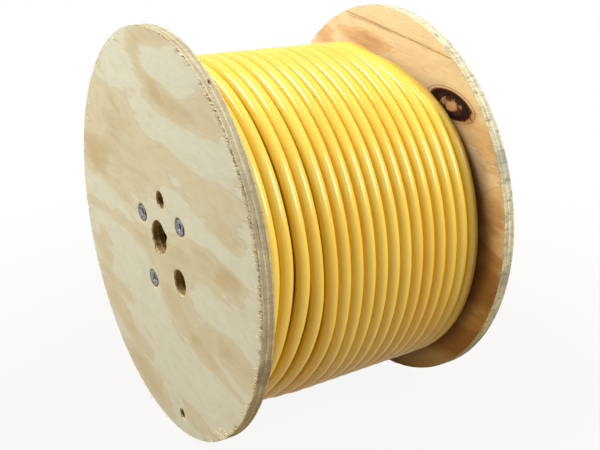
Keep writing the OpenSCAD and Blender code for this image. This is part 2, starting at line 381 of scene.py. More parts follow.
@dataclass(frozen=True)
class PlywoodFace:
    """The face veneer of a flange: rotary-cut softwood with a broad figure."""

    name: str
    pale: Colour
    tan: Colour
    deep: Colour
    patches: tuple[Patch, ...]
    grain_turn: float = -4.0
    place: float = 0.0
    knots: tuple[Knot, ...] = ()
    cracks: tuple[Crack, ...] = ()
    face_y: float = 0.0
    bias: float = 0.22
    outline: float = 0.16
    streaks: float = 0.20
    # The next two fields paint the winding's shade on the face beside it: how strong it is and its
    # colour.
    rub_and_painted_shade: float = 0.0
    painted_shade_colour: Colour = linear(92, 56, 22)
    torn: Colour = linear(152, 124, 82)
    radius: float = SpoolSizes.flange_r

    def make(self) -> Material:
        """Builds the material."""
        sheet = Sheet(self.name)
        x, y, z = sheet.parts(sheet.place())
        flat = sheet.vector(x, self.place, z)
        along = sheet.stretch(flat, (1.0, 1.0, 1.0), self.grain_turn)
        # long fingers along the grain bend the edges of every patch
        finger = sheet.grain(along, (9.0, 1.0, 55.0), 4.0, 0.6)
        broad = sheet.grain(along, (4.0, 1.0, 9.0), 2.0, 0.5, (3.1, 0.0, 1.7))
        warped = sheet.vector(x + (finger - 0.5) * 0.085, 0.0,
                              z + (broad - 0.5) * 0.055 + (finger - 0.5) * 0.012)
        patches: Signal | float = 0.0
        for patch in self.patches:
            patches = self._reach(sheet, warped, patch).step(1.3, 0.5) * patch.amount + patches
        wander = sheet.grain(along, (6.0, 1.0, 26.0), 5.0, 0.62, (8.0, 0.0, 2.0))
        level = (wander - 0.5) * 1.5 + self.bias + patches
        blend = level.step(0.16, 0.52) * 0.6 + level.step(-0.2, 1.0) * 0.4
        colour = sheet.mix(blend, self.pale, self.tan)
        colour = sheet.mix(level.step(0.7, 1.7) * 0.6, colour, self.deep)
        colour = sheet.mix(abs(level - 0.38).step(0.09, 0.0) * self.outline, colour, self.deep)
        smudge = sheet.grain(along, (22.0, 1.0, 60.0), 5.0, 0.7)
        dirt = smudge.step(0.54, 0.78) * level.step(-0.1, 0.7)
        colour = sheet.mix(dirt * 0.4, colour, self.deep)
        # growth rings run along the patches' edges
        rings = (level * 21.0 + (finger - 0.5) * 7.0).wave()
        colour = sheet.mix(rings.step(0.1, 1.0) * 0.10, colour, self.deep)
        if self.rub_and_painted_shade:
            # painted shade: the winding's shadow on the wood beside it, darkest low on the right
            painted_shade_beside = ((x * x + z * z) ** 0.5 + (broad - 0.5) * 0.012).step(0.290, 0.262)
            colour = sheet.mix(painted_shade_beside * (x * 0.6 - z).step(-0.05, 0.1) * self.rub_and_painted_shade, colour,
                               self.painted_shade_colour)
        for crack in self.cracks:
            colour = self._crack(sheet, x, z, finger, crack, colour)
        for knot in self.knots:
            colour = self._knot(sheet, x, z, broad, knot, colour)
        streak = sheet.grain(along, (26.0, 1.0, 420.0), 3.0, 0.6)
        fleck = sheet.grain(along, (120.0, 1.0, 1500.0), 2.0)
        mottle = sheet.noise(flat, 32.0, 4.0, 0.6)
        shade = (streak - 0.5) * self.streaks + (mottle - 0.5) * 0.16 + 1.0
        shade = shade - fleck.step(0.66, 0.80) * 0.16
        colour = sheet.mix(1.0, colour, shade, "MULTIPLY")
        worn = abs(y - self.face_y).step(0.0002, 0.0009)
        colour = sheet.mix(worn * 0.85, colour, self.torn)
        normal = sheet.bump(streak * 0.55 + fleck * 0.45, 0.0005, 0.45)
        return sheet.finish(colour, (mottle - 0.5) * 0.2 + 0.76, normal, Specular_IOR_Level=0.12)

    def _reach(self, sheet: Sheet, at: Signal, oval: Oval) -> Signal:
        """Measures how far a point lies from an oval's middle.

        Args:
            sheet: The sheet.
            at: The point.
            oval: The oval.

        Returns:
            The distance, which is 1 at the oval's edge.
        """
        r = self.radius
        local = sheet.node(
            "ShaderNodeMapping", {"vector_type": "TEXTURE"},
            {"Vector": at, "Location": (oval.x * r, 0.0, oval.z * r),
             "Rotation": (0.0, -math.radians(oval.turn), 0.0),
             "Scale": (oval.long * r, 1.0, oval.wide * r)})
        return sheet.node("ShaderNodeVectorMath", {"operation": "LENGTH"}, {0: local}, "Value")

    def _crack(self, sheet: Sheet, x: Signal, z: Signal, finger: Signal, crack: Crack,
               colour: Signal) -> Signal:
        """Draws one hairline crack over a colour.

        Args:
            sheet: The sheet.
            x, z: The place on the face.
            finger: Drawn-out noise, which bends the crack.
            crack: The crack.
            colour: The colour below.

        Returns:
            The colour with the crack.
        """
        r = self.radius
        slope = (crack.z1 - crack.z0) / (crack.x1 - crack.x0)
        mid, half = (crack.x0 + crack.x1) / 2 * r, (crack.x1 - crack.x0) / 2 * r
        t = (x - mid) / half
        line = (x - crack.x0 * r) * slope + crack.z0 * r + (1.0 - t * t) * (crack.bow * r)
        off = abs(z - line + (finger - 0.5) * 0.004)
        near = off.step(crack.width, crack.width * 0.25) * abs(t).step(1.0, 0.93)
        halo = off.step(crack.width * 7, 0.0) * abs(t).step(1.0, 0.8)
        broken = sheet.noise(sheet.vector(x, 0.0, 0.0), 90.0, 3.0, 0.7).step(0.30, 0.52)
        colour = sheet.mix(halo * 0.22, colour, self.deep)
        return sheet.mix(near * broken * crack.amount, colour, crack.colour)

    def _knot(self, sheet: Sheet, x: Signal, z: Signal, broad: Signal, knot: Knot,
              colour: Signal) -> Signal:
        """Draws one knot over a colour.

        Args:
            sheet: The sheet.
            x, z: The place on the face.
            broad: Broad noise, which bends the knot's outline.
            knot: The knot.
            colour: The colour below.

        Returns:
            The colour with the knot.
        """
        flat = sheet.vector(x + (broad - 0.5) * 0.008, 0.0, z + (broad - 0.5) * 0.008)
        reach = self._reach(sheet, flat, knot)
        fray = sheet.noise(flat, 130.0, 4.0, 0.65)
        core = sheet.noise(flat, 75.0, 3.0, 0.5, 0.6)
        right = self._reach(sheet, flat, Oval(
            knot.x + knot.long * 0.85, knot.z - knot.wide * 0.55, knot.long * 0.75, knot.wide,
            knot.turn)).step(1.0, 0.2)
        edge = reach + (fray - 0.5) * (right * 0.8 + 0.08)
        halo = sheet.mix(edge.step(1.6, 1.02) * (right * 0.55 + 0.2), colour, self.deep)
        ring = abs(reach + (fray - 0.5) * 0.05 - 1.17).step(0.05, 0.0)
        halo = sheet.mix(ring * 0.6, halo, knot.ring)
        rim = sheet.mix(edge.step(1.08, 0.97), halo, knot.rim)
        black = sheet.mix(edge.step(0.98, 0.88), rim, knot.black)
        heart = (reach + (core - 0.5) * 1.1).step(0.50, 0.28)
        brown = sheet.mix(core.step(0.42, 0.62) * reach.step(0.85, 0.45) * 0.55, black, knot.brown)
        return sheet.mix(heart * 0.92, brown, knot.heart)


@dataclass(frozen=True)
class Stain:
    """A weathered stain on a rim: its direction in degrees and its reach in metres."""

    angle: float
    reach: float
    amount: float


@dataclass(frozen=True)
class PlywoodEdge:
    """The sawn edge of the plywood, where its plies show as bands."""

    name: str
    face_y: float
    plies: tuple[float, ...]
    tones: tuple[Colour, ...]
    stains: tuple[Stain, ...]
    stain_colour: Colour
    glue: Colour
    mottle: float = 0.3
    blotch: float = 26.0
    speckle: float = 0.3
    speck_colour: Colour = linear(136, 128, 104)
    pit_colour: Colour = linear(78, 62, 44)
    radius: float = SpoolSizes.flange_r

    def make(self) -> Material:
        """Builds the material."""
        sheet = Sheet(self.name)
        point = sheet.place()
        x, y, z = sheet.parts(point)
        sway = sheet.noise(point, 14.0, 2.0)
        depth = y - self.face_y + (sway - 0.5) * 0.0012
        colour: Any = self.tones[0]
        lines: Signal | float = 0.0
        edge = 0.0
        for thickness, tone in zip(self.plies[:-1], self.tones[1:]):
            edge += thickness
            off = depth - edge
            colour = sheet.mix(off.step(-0.0003, 0.0003), colour, tone)
            lines = abs(off).step(0.00075, 0.0001) + lines
        gap = sheet.noise(point, 60.0, 3.0, 0.7)
        colour = sheet.mix(lines * gap.step(0.30, 0.62) * 0.42, colour, self.glue)
        long_fibre = sheet.grain(point, (34.0, 900.0, 34.0), 4.0, 0.65)
        tear = sheet.grain(point, (330.0, 75.0, 330.0), 4.0, 0.7)
        patch = sheet.noise(point, self.blotch, 5.0, 0.7)
        colour = sheet.mix(patch.step(0.46, 0.70) * self.mottle, colour, self.stain_colour)
        for stain in self.stains:
            at = polar(self.radius, stain.angle)
            away = sheet.node("ShaderNodeVectorMath", {"operation": "DISTANCE"},
                              {0: sheet.vector(x, 0.0, z), 1: at[:]}, "Value")
            away = away + (patch - 0.5) * 0.10 + (long_fibre - 0.5) * 0.06 + (tear - 0.5) * 0.05
            mask = away.step(stain.reach, stain.reach * 0.15)
            colour = sheet.mix(mask * stain.amount, colour, self.stain_colour)
        speck = sheet.grain(point, (150.0, 48.0, 150.0), 5.0, 0.72)
        colour = sheet.mix(speck.step(0.53, 0.66) * self.speckle, colour, self.speck_colour)
        shade = (long_fibre - 0.5) * 1.15 + (tear - 0.5) * 0.6 + 1.0
        colour = sheet.mix(1.0, colour, shade, "MULTIPLY")
        hair = sheet.grain(point, (700.0, 70.0, 700.0), 3.0, 0.6)
        near_face = abs(depth - sum(self.plies) / 2).step(0.0035, 0.0085)
        colour = sheet.mix(hair.step(0.56, 0.70) * near_face * 0.6, colour, self.glue)
        colour = sheet.mix(tear.step(0.70, 0.80) * 0.55, colour, self.pit_colour)
        normal = sheet.bump(long_fibre * 0.5 + tear * 0.5, 0.0009, 0.7)
        return sheet.finish(colour, (tear - 0.5) * 0.2 + 0.82, normal, Specular_IOR_Level=0.2)


@dataclass(frozen=True)
class CableJacket:
    """Glossy yellow cable jacket, with the fine marks that its wrapping leaves in it."""

    name: str
    colour: Colour
    warm: Colour
    dull: float = 0.0
    grime: Colour = linear(168, 112, 30)

    def make(self) -> Material:
        """Builds the material."""
        sheet = Sheet(self.name)
        along = sheet.node("ShaderNodeAttribute", {"attribute_name": "along"}, None, "Fac")
        ring = sheet.node("ShaderNodeAttribute", {"attribute_name": "ring"}, None, "Vector")
        rx, ry, _ = sheet.parts(ring)
        lay = sheet.vector(rx, ry, along)
        drift = sheet.grain(lay, (25.0, 25.0, 3.0), 3.0)
        weave = sheet.grain(lay, (900.0, 900.0, 380.0), 2.0, 0.6)
        grime = sheet.grain(lay, (160.0, 160.0, 22.0), 4.0, 0.65)
        colour = sheet.mix(drift.step(0.35, 0.68) * 0.6, self.colour, self.warm)
        colour = sheet.mix(grime.step(0.60, 0.78) * (0.10 + self.dull), colour, self.grime)
        normal = sheet.bump(weave * 0.6 + grime * 0.4, 0.00022, 0.35)
        rough = (grime - 0.5) * 0.22 + (drift - 0.5) * 0.12 + (0.36 + self.dull)
        return sheet.finish(colour, rough, normal, Specular_IOR_Level=0.05, Coat_Weight=0.24,
                            Coat_Roughness=0.25, Coat_IOR=2.6)


@dataclass(frozen=True)
class PlainMetal:
    """Plated, drawn or brushed metal with a cloudy surface."""

    name: str
    colour: Colour
    cloud: Colour
    rough: float = 0.4
    scale: float = 220.0

    def make(self) -> Material:
        """Builds the material."""
        sheet = Sheet(self.name)
        point = sheet.place()
        cloud = sheet.noise(point, self.scale, 4.0, 0.6, 0.4)
        fine = sheet.noise(point, self.scale * 6.0, 2.0, 0.6)
        colour = sheet.mix(cloud.step(0.38, 0.66), self.colour, self.cloud)
        normal = sheet.bump(fine * 0.7 + cloud * 0.3, 0.00012, 0.35)
        return sheet.finish(colour, (cloud - 0.5) * 0.35 + self.rough, normal, Metallic=0.9)


@dataclass(frozen=True)
class FibreBoard:
    """Spirally wound brown fibre board."""

    name: str = "fibre_board"
    paper: Colour = linear(168, 128, 86)
    dark: Colour = linear(112, 80, 50)
    lead: float = 0.105

    def make(self) -> Material:
        """Builds the material."""
        sheet = Sheet(self.name)
        point = sheet.place()
        x, y, z = sheet.parts(point)
        turn = sheet.node("ShaderNodeMath", {"operation": "ARCTAN2"}, {0: z, 1: x})
        strip = turn * (1.0 / math.pi) + y / self.lead
        within = sheet.node("ShaderNodeMath", {"operation": "PINGPONG"}, {0: strip, 1: 0.5})
        fibre = sheet.noise(point, 300.0, 4.0, 0.65)
        cloud = sheet.noise(point, 18.0, 3.0)
        colour = sheet.mix(fibre.step(0.35, 0.75) * 0.35 + cloud.step(0.4, 0.8) * 0.25,
                           self.paper, self.dark)
        colour = sheet.mix(within.step(0.02, 0.0) * 0.8, colour, self.dark)
        normal = sheet.bump(within.step(0.0, 0.02) * 0.7 + fibre * 0.3, 0.0004, 0.6)
        return sheet.finish(colour, (fibre - 0.5) * 0.2 + 0.85, normal, Specular_IOR_Level=0.2)


@dataclass(frozen=True)
class Moulded:
    """Plain rubber or plastic with a faint unevenness."""

    name: str
    colour: Colour
    rough: float = 0.5

    def make(self) -> Material:
        """Builds the material."""
        sheet = Sheet(self.name)
        cloud = sheet.noise(sheet.place(), 400.0, 3.0, 0.6)
        colour = sheet.mix(1.0, self.colour, (cloud - 0.5) * 0.25 + 1.0, "MULTIPLY")
        return sheet.finish(colour, (cloud - 0.5) * 0.2 + self.rough,
                            sheet.bump(cloud, 0.0002, 0.3))


# ---------- Geometry Nodes ----------
class Recipe(Tree):
    """A Geometry Nodes tree with named inputs, whose result is kept as a plain mesh."""

    def __init__(self, name: str) -> None:
        """Makes a tree with one geometry input and one geometry output."""
        super().__init__(bpy.data.node_groups.new(name, "GeometryNodeTree"))
        for way in ("INPUT", "OUTPUT"):
            self.tree.interface.new_socket(
                "Geometry", in_out=way, socket_type="NodeSocketGeometry")
        self.entry = self.tree.nodes.new("NodeGroupInput")
        self.named: dict[str, str] = {}

    def size(self, name: str, kind: str = "NodeSocketFloat") -> Signal:
        """Adds a named input and returns its signal."""
        socket = self.tree.interface.new_socket(name, in_out="INPUT", socket_type=kind)
        self.named[name] = socket.identifier
        return Signal(self, self.entry.outputs[name])

    @property
    def source(self) -> Signal:
        """The geometry that comes in."""
        return Signal(self, self.entry.outputs["Geometry"])

    def close(self, geometry: Signal) -> None:
        """Ends the tree: makes instances real and sets the material, which is an input.

        Args:
            geometry: The result.
        """
        material = self.size("Material", "NodeSocketMaterial")
        real = self.node("GeometryNodeRealizeInstances", None, {0: geometry})
        dressed = self.node("GeometryNodeSetMaterial", None,
                            {"Geometry": real, "Material": material})
        self.end("NodeGroupOutput", dressed)

    def run(self, name: str, mesh: Mesh, **values: Any) -> Object:
        """Runs the tree on a mesh.

        Args:
            name: The new piece's name.
            mesh: The mesh that goes in.
            **values: The named inputs, with _ for a space.

        Returns:
            A new piece with the result as its mesh and no modifier.
        """
        carrier = put(name + "_carrier", mesh)
        modifier = carrier.modifiers.new(name, "NODES")
        modifier.node_group = self.tree
        for key, value in values.items():
            modifier[self.named[key.replace("_", " ")]] = value
        depsgraph = bpy.context.evaluated_depsgraph_get()
        made = bpy.data.meshes.new_from_object(
            carrier.evaluated_get(depsgraph), preserve_all_data_layers=True, depsgraph=depsgraph)
        bpy.data.objects.remove(carrier)
        return add_piece(name, made)


def put(name: str, data: bpy.types.ID) -> Object:
    """Puts a mesh, lamp or camera in the scene under that name."""
    thing = bpy.data.objects.new(name, data)
    bpy.context.scene.collection.objects.link(thing)
    return thing


def add_piece(name: str, mesh: Mesh) -> Object:
    """Puts a mesh in the scene as a piece of that name."""
    mesh.name = name
    return put(name, mesh)


def length_of(line: Array) -> float:
    """The length of a chain of points."""
    return float(np.linalg.norm(np.diff(line, axis=0), axis=1).sum())


def line_mesh(name: str, points: Array) -> Mesh:
    """A mesh of one open chain of edges through the points."""
    mesh = bpy.data.meshes.new(name)
    mesh.from_pydata(points.tolist(), [(i, i + 1) for i in range(len(points) - 1)], [])
    return mesh


def sharpen(piece: Object, angle: float = 35.0) -> None:
    """Shades a piece smooth up to an angle between faces, in degrees."""
    piece.data.shade_smooth()
    piece.data.set_sharp_from_angle(angle=math.radians(angle))


def face_outwards(mesh: Mesh) -> Mesh:
    """Turns a closed mesh's faces outwards and returns the mesh."""
    bm = bmesh.new()
    bm.from_mesh(mesh)
    bmesh.ops.recalc_face_normals(bm, faces=bm.faces)
    bm.to_mesh(mesh)
    bm.free()
    return mesh


def hand_over(piece: Object, slot: str, node: str = "") -> None:
    """Puts a finished piece on the spool's one body, and reports it.

    Args:
        piece: The finished piece.
        slot: The record's material slot that it belongs to.
        node: The CAD node that it replaces, if it does.
    """
    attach(piece, ROOT)
    if node:
        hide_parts(node)
    log.info("%s: %d faces, %s", piece.name, len(piece.data.polygons), slot)


def sweep_recipe() -> Recipe:
    """A round tube along a chain of edges, with the attributes that the jacket reads."""
    recipe = Recipe("round_tube")
    radius = recipe.size("Radius")
    sides = recipe.size("Sides", "NodeSocketInt")
    line = recipe.node("GeometryNodeMeshToCurve", None, {"Mesh": recipe.source})
    length = recipe.node("GeometryNodeSplineParameter", out="Length")
    line = recipe.node(
        "GeometryNodeStoreNamedAttribute", {"data_type": "FLOAT", "domain": "POINT"},
        {"Geometry": line, "Name": "along", "Value": length})
    circle = recipe.node(
        "GeometryNodeCurvePrimitiveCircle", {"mode": "RADIUS"},
        {"Resolution": sides, "Radius": radius})
    spot = recipe.node("GeometryNodeInputPosition")
    circle = recipe.node(
        "GeometryNodeStoreNamedAttribute", {"data_type": "FLOAT_VECTOR", "domain": "POINT"},
        {"Geometry": circle, "Name": "ring", "Value": spot})
    tube = recipe.node(
        "GeometryNodeCurveToMesh", None,
        {"Curve": line, "Profile Curve": circle, "Fill Caps": True})
    recipe.close(tube)
    return recipe


def array_recipe() -> Recipe:
    """Copies of a mesh, set evenly round the Y axis."""
    recipe = Recipe("round_array")
    count = recipe.size("Count", "NodeSocketInt")
    first = recipe.size("First turn")
    points = recipe.node("GeometryNodePoints", None, {"Count": count, "Position": (0.0, 0.0, 0.0)})
    index = recipe.node("GeometryNodeInputIndex")
    turn = index * (2.0 * math.pi) / count + first
    rotation = recipe.node("ShaderNodeCombineXYZ", None, {1: turn})
    copies = recipe.node(
        "GeometryNodeInstanceOnPoints", None,
        {"Points": points, "Instance": recipe.source, "Rotation": rotation})
    recipe.close(copies)
    return recipe


def sliver_recipe() -> Recipe:
    """Torn wood fibres on the points of a mesh, each turned along its own direction."""
    width, flat, bend, point, thickness = 0.055, 0.4, -0.06, 0.1, 0.009
    recipe = Recipe("torn_fibres")
    seed = recipe.size("Seed", "NodeSocketInt")
    shortest, longest, lift, spread = (
        recipe.size(name) for name in ("Shortest", "Longest", "Lift", "Spread"))

    def chance(low: Any, high: Any, own_seed: Signal) -> Signal:
        """A random number for each point."""
        return recipe.node("FunctionNodeRandomValue", {"data_type": "FLOAT"},
                           {2: low, 3: high, "Seed": own_seed}, 1)

    def stored(name: str) -> Signal:
        """A number that each point carries."""
        return recipe.node("GeometryNodeInputNamedAttribute", {"data_type": "FLOAT"},
                           {"Name": name})

    spine = recipe.node(
        "GeometryNodeMeshLine", {"mode": "OFFSET"}, {"Count": 4, "Offset": (1.0 / 3.0, 0.0, 0.0)})
    spine = recipe.node("GeometryNodeMeshToCurve", None, {"Mesh": spine})
    taper = recipe.node("GeometryNodeSplineParameter", out="Factor")
    thick = (1.0 - taper * taper) * (1.0 - point) + point
    bow = recipe.node("ShaderNodeCombineXYZ", None, {1: taper * taper * bend})
    spine = recipe.node("GeometryNodeSetPosition", None, {"Geometry": spine, "Offset": bow})
    spine = recipe.node("GeometryNodeSetCurveRadius", None, {"Curve": spine, "Radius": thick})
    blade = recipe.node(
        "GeometryNodeCurvePrimitiveCircle", {"mode": "RADIUS"}, {"Resolution": 5, "Radius": width})
    blade = recipe.node(
        "GeometryNodeTransform", None, {"Geometry": blade, "Scale": (1.0, flat, 1.0)})
    fibre = recipe.node(
        "GeometryNodeCurveToMesh", None,
        {"Curve": spine, "Profile Curve": blade, "Fill Caps": True})
    long = chance(shortest, longest, seed)
    heading = stored("heading")
    sway = chance(spread * -1.0, spread, seed + 7)
    rise = chance(0.0, lift, seed + 3)
    rotation = recipe.node(
        "ShaderNodeCombineXYZ", None, {1: (heading + sway) * -1.0, 2: rise * stored("side")})
    scale = recipe.node("ShaderNodeCombineXYZ", None, {0: long, 1: thickness, 2: thickness})
    copies = recipe.node(
        "GeometryNodeInstanceOnPoints", None,
        {"Points": recipe.source, "Instance": fibre, "Rotation": rotation, "Scale": scale})
    recipe.close(copies)
    return recipe


# ---------- Solid building ----------
class Solid:
    """Gathers loops of points and joins them into one closed mesh."""

    def __init__(self) -> None:
        """Starts with nothing."""
        self.blocks: list[Array] = []
        self.count = 0
        self.faces: list[tuple[int, ...]] = []
        self.slots: list[int] = []

    def loop(self, points: Array) -> Array:
        """Adds points and returns their numbers."""
        self.blocks.append(np.asarray(points, float))
        self.count += len(points)
        return np.arange(self.count - len(points), self.count)

    def bridge(self, a: Array, b: Array, slot: int = 0) -> None:
        """Joins two closed loops of as many points with quads."""
        quads = np.stack([a, np.roll(a, -1), np.roll(b, -1), b], 1)
        self.faces.extend(map(tuple, quads.tolist()))
        self.slots.extend([slot] * len(quads))

    def stack(self, loops: Sequence[Array], slot: int = 0, closed: bool = False) -> None:
        """Bridges loops one after the other, and the last to the first if closed."""
        for a, b in zip(loops[:-1], loops[1:]):
            self.bridge(a, b, slot)
        if closed:
            self.bridge(loops[-1], loops[0], slot)

    def cap(self, loop: Array, slot: int = 0) -> None:
        """Closes a loop with a fan round its middle."""
        points = np.concatenate(self.blocks)[loop]
        middle = int(self.loop(points.mean(0)[None])[0])
        for a, b in zip(loop.tolist(), np.roll(loop, -1).tolist()):
            self.faces.append((a, b, middle))
            self.slots.append(slot)

    def fill(self, outer: Array, holes: Sequence[Array], slot: int, spacing: float) -> None:
        """Fills the flat region between an outer loop and the loops of its holes.

        Args:
            outer: The numbers of the outer loop's points.
            holes: The numbers of each hole's points.
            slot: The material slot of the faces.
            spacing: The distance between the points that are added inside.
        """
        points = np.concatenate(self.blocks)
        loops = [outer, *holes]
        y = float(points[outer, 1].mean())
        flat = [points[loop][:, [0, 2]] * 1000.0 for loop in loops]
        reach = np.abs(flat[0]).max()
        step = spacing * 1000.0
        ticks = np.arange(-reach, reach, step)
        gx, gz = np.meshgrid(ticks, ticks)
        gx = gx + (np.arange(len(ticks)) % 2)[:, None] * step / 2
        grid = np.stack([gx.ravel(), gz.ravel()], 1)
        keep = self._inside(grid, flat[0])
        for hole in flat[1:]:
            keep &= ~self._inside(grid, hole)
        border = np.concatenate(flat)
        grid = grid[keep]
        gaps = np.array([np.min(np.hypot(*(border - p).T)) for p in grid])
        grid = grid[gaps > step * 0.45]
        inner = self.loop(np.stack([grid[:, 0] / 1000, np.full(len(grid), y),
                                    grid[:, 1] / 1000], 1))
        numbers = np.concatenate([*loops, inner])
        where = np.concatenate([*flat, grid])
        edges, start = [], 0
        for loop in loops:
            n = len(loop)
            edges += [(start + i, start + (i + 1) % n) for i in range(n)]
            start += n
        _, _, triangles, origins, _, _ = delaunay_2d_cdt(
            [Vector(p) for p in where.tolist()], edges, [], 1, 1e-7)
        corners = np.array([[origins[v][0] for v in triangle] for triangle in triangles])
        middles = where[corners].mean(1)
        solid = np.ones(len(corners), bool)
        for hole in flat[1:]:
            solid &= ~self._inside(middles, hole)
        self.faces.extend(map(tuple, numbers[corners[solid]].tolist()))
        self.slots.extend([slot] * int(solid.sum()))

    @staticmethod
    def _inside(points: Array, polygon: Array) -> Array:
        """Tells which points lie inside a closed polygon.

        Args:
            points: The points, as rows of two numbers.
            polygon: The polygon's corners, in order.

        Returns:
            True or false for each point.
        """
        inside = np.zeros(len(points), bool)
        a, b = polygon, np.roll(polygon, -1, 0)
        for (ax, ay), (bx, by) in zip(a, b):
            if ay == by:
                continue
            crosses = (ay > points[:, 1]) != (by > points[:, 1])
            inside ^= crosses & (points[:, 0] < (bx - ax) * (points[:, 1] - ay) / (by - ay) + ax)
        return inside

    def piece(self, name: str, materials: Sequence[Material], angle: float = 35.0) -> Object:
        """Makes the piece, with its faces pointing outwards.

        Args:
            name: The piece's name.
            materials: The material of each slot.
            angle: The angle between faces, in degrees, above which an edge is sharp.

        Returns:
            The new piece.
        """
        mesh = bpy.data.meshes.new(name)
        mesh.from_pydata(np.concatenate(self.blocks).tolist(), [], self.faces)
        for material in materials:
            mesh.materials.append(material)
        mesh.polygons.foreach_set("material_index", self.slots)
        made = add_piece(name, face_outwards(mesh))
        sharpen(made, angle)
        return made


def around(sides: int) -> Array:
    """The angles of points that are spread evenly over a full turn."""
    return np.arange(sides) * (2 * math.pi / sides)


def turn_from(angles: Array, degrees: float) -> Array:
    """How far angles lie from a direction in degrees, the short way round."""
    return np.angle(np.exp(1j * (angles - math.radians(degrees))))


def circle(radius: Array | float, y: Array | float, sides: int,
           centre: tuple[float, float] = (0.0, 0.0)) -> Array:
    """Points of a circle about an axis along Y.

    Args:
        radius: The radius, or one for each point.
        y: The place on Y, or one for each point.
        sides: The number of points.
        centre: The middle's x and z.

    Returns:
        The points, as rows.
    """
    a = around(sides)
    return np.stack([centre[0] + radius * np.cos(a), np.broadcast_to(y, sides),
                     centre[1] + radius * np.sin(a)], 1)


def ripple(points: Array, scale: Sequence[float], seed: int) -> Array:
    """Noise from about -1 to 1 at each point.

    Args:
        points: The points, as rows.
        scale: Features for each metre along x, y and z.
        seed: Which noise.

    Returns:
        One number for each point.
    """
    scaled = points * np.asarray(scale) + seed * 17.31
    return np.array([noise.noise(Vector(p)) for p in scaled.tolist()])


def turned(rows: Sequence[tuple[float, float]], sides: int,
           outline: Callable[[Array], Array] | None = None) -> list[Array]:
    """Loops of points about the Y axis.

    Args:
        rows: The radius and the place on Y of each loop. A negative radius is measured inwards
            from the outline.
        sides: Points in a loop.
        outline: Gives the outline's radius at each angle.

    Returns:
        One array of points for each row.
    """
    rim = outline(around(sides)) if outline else np.zeros(sides)
    return [circle(rim + r if r <= 0 and outline else r, y, sides) for r, y in rows]


# ---------- Flanges ----------
class Slot(IntEnum):
    """The material slots of a flange."""

    OUTER = 0
    INNER = 1
    EDGE = 2
    BORE = 3
    TORN = 4


class Loose(IntEnum):
    """How a fibre stands loose where the veneer is torn."""

    NONE = 0
    SHORT = 1
    TUFT = 2


@dataclass(frozen=True)
class FibreKind:
    """One kind of loose fibre, with the steepest rise and the spread of its turn in radians."""

    loose: Loose
    suffix: str
    shortest: float
    longest: float
    lift: float
    spread: float


SHORT_FIBRE = FibreKind(Loose.SHORT, "_fibres", 0.23 * 0.011, 0.011, 0.35, 0.30)
TUFT_FIBRE = FibreKind(Loose.TUFT, "_tufts", 0.5 * 0.026, 0.026, 0.07, 0.09)


@dataclass(frozen=True)
class Notch:
    """A place where a drill tore the wood out of a hole's wall."""

    angle: float
    half_width: float
    deep: float
    lip_only: bool = False


@dataclass(frozen=True)
class Bore:
    """A hole across a flange: its middle, and its radii at depths below the outer face."""

    x: float
    z: float
    steps: tuple[tuple[float, float], ...]
    ragged: float = 0.0002
    notches: tuple[Notch, ...] = ()
    collar: float = 0.006
    sides: int = 96
    splinter: float = 0.0
    dish: float = 0.0


@dataclass(frozen=True)
class Void:
    """A missing bit of veneer in the rim: its direction, depth below the face, and half sizes."""

    angle: float
    depth: float
    long: float
    high: float
    deep: float


@dataclass(frozen=True)
class Tears:
    """How the saw tore fibres out of a face veneer along the rim.

    Each tuft is a count of fibres, its middle and spread in degrees, and its longest fibre.
    """

    count: int
    seed: int
    middle: float
    spread: float
    even: float
    longest: float = 0.013
    deepest: float = 0.0013
    tufts: tuple[tuple[int, float, float, float], ...] = ()


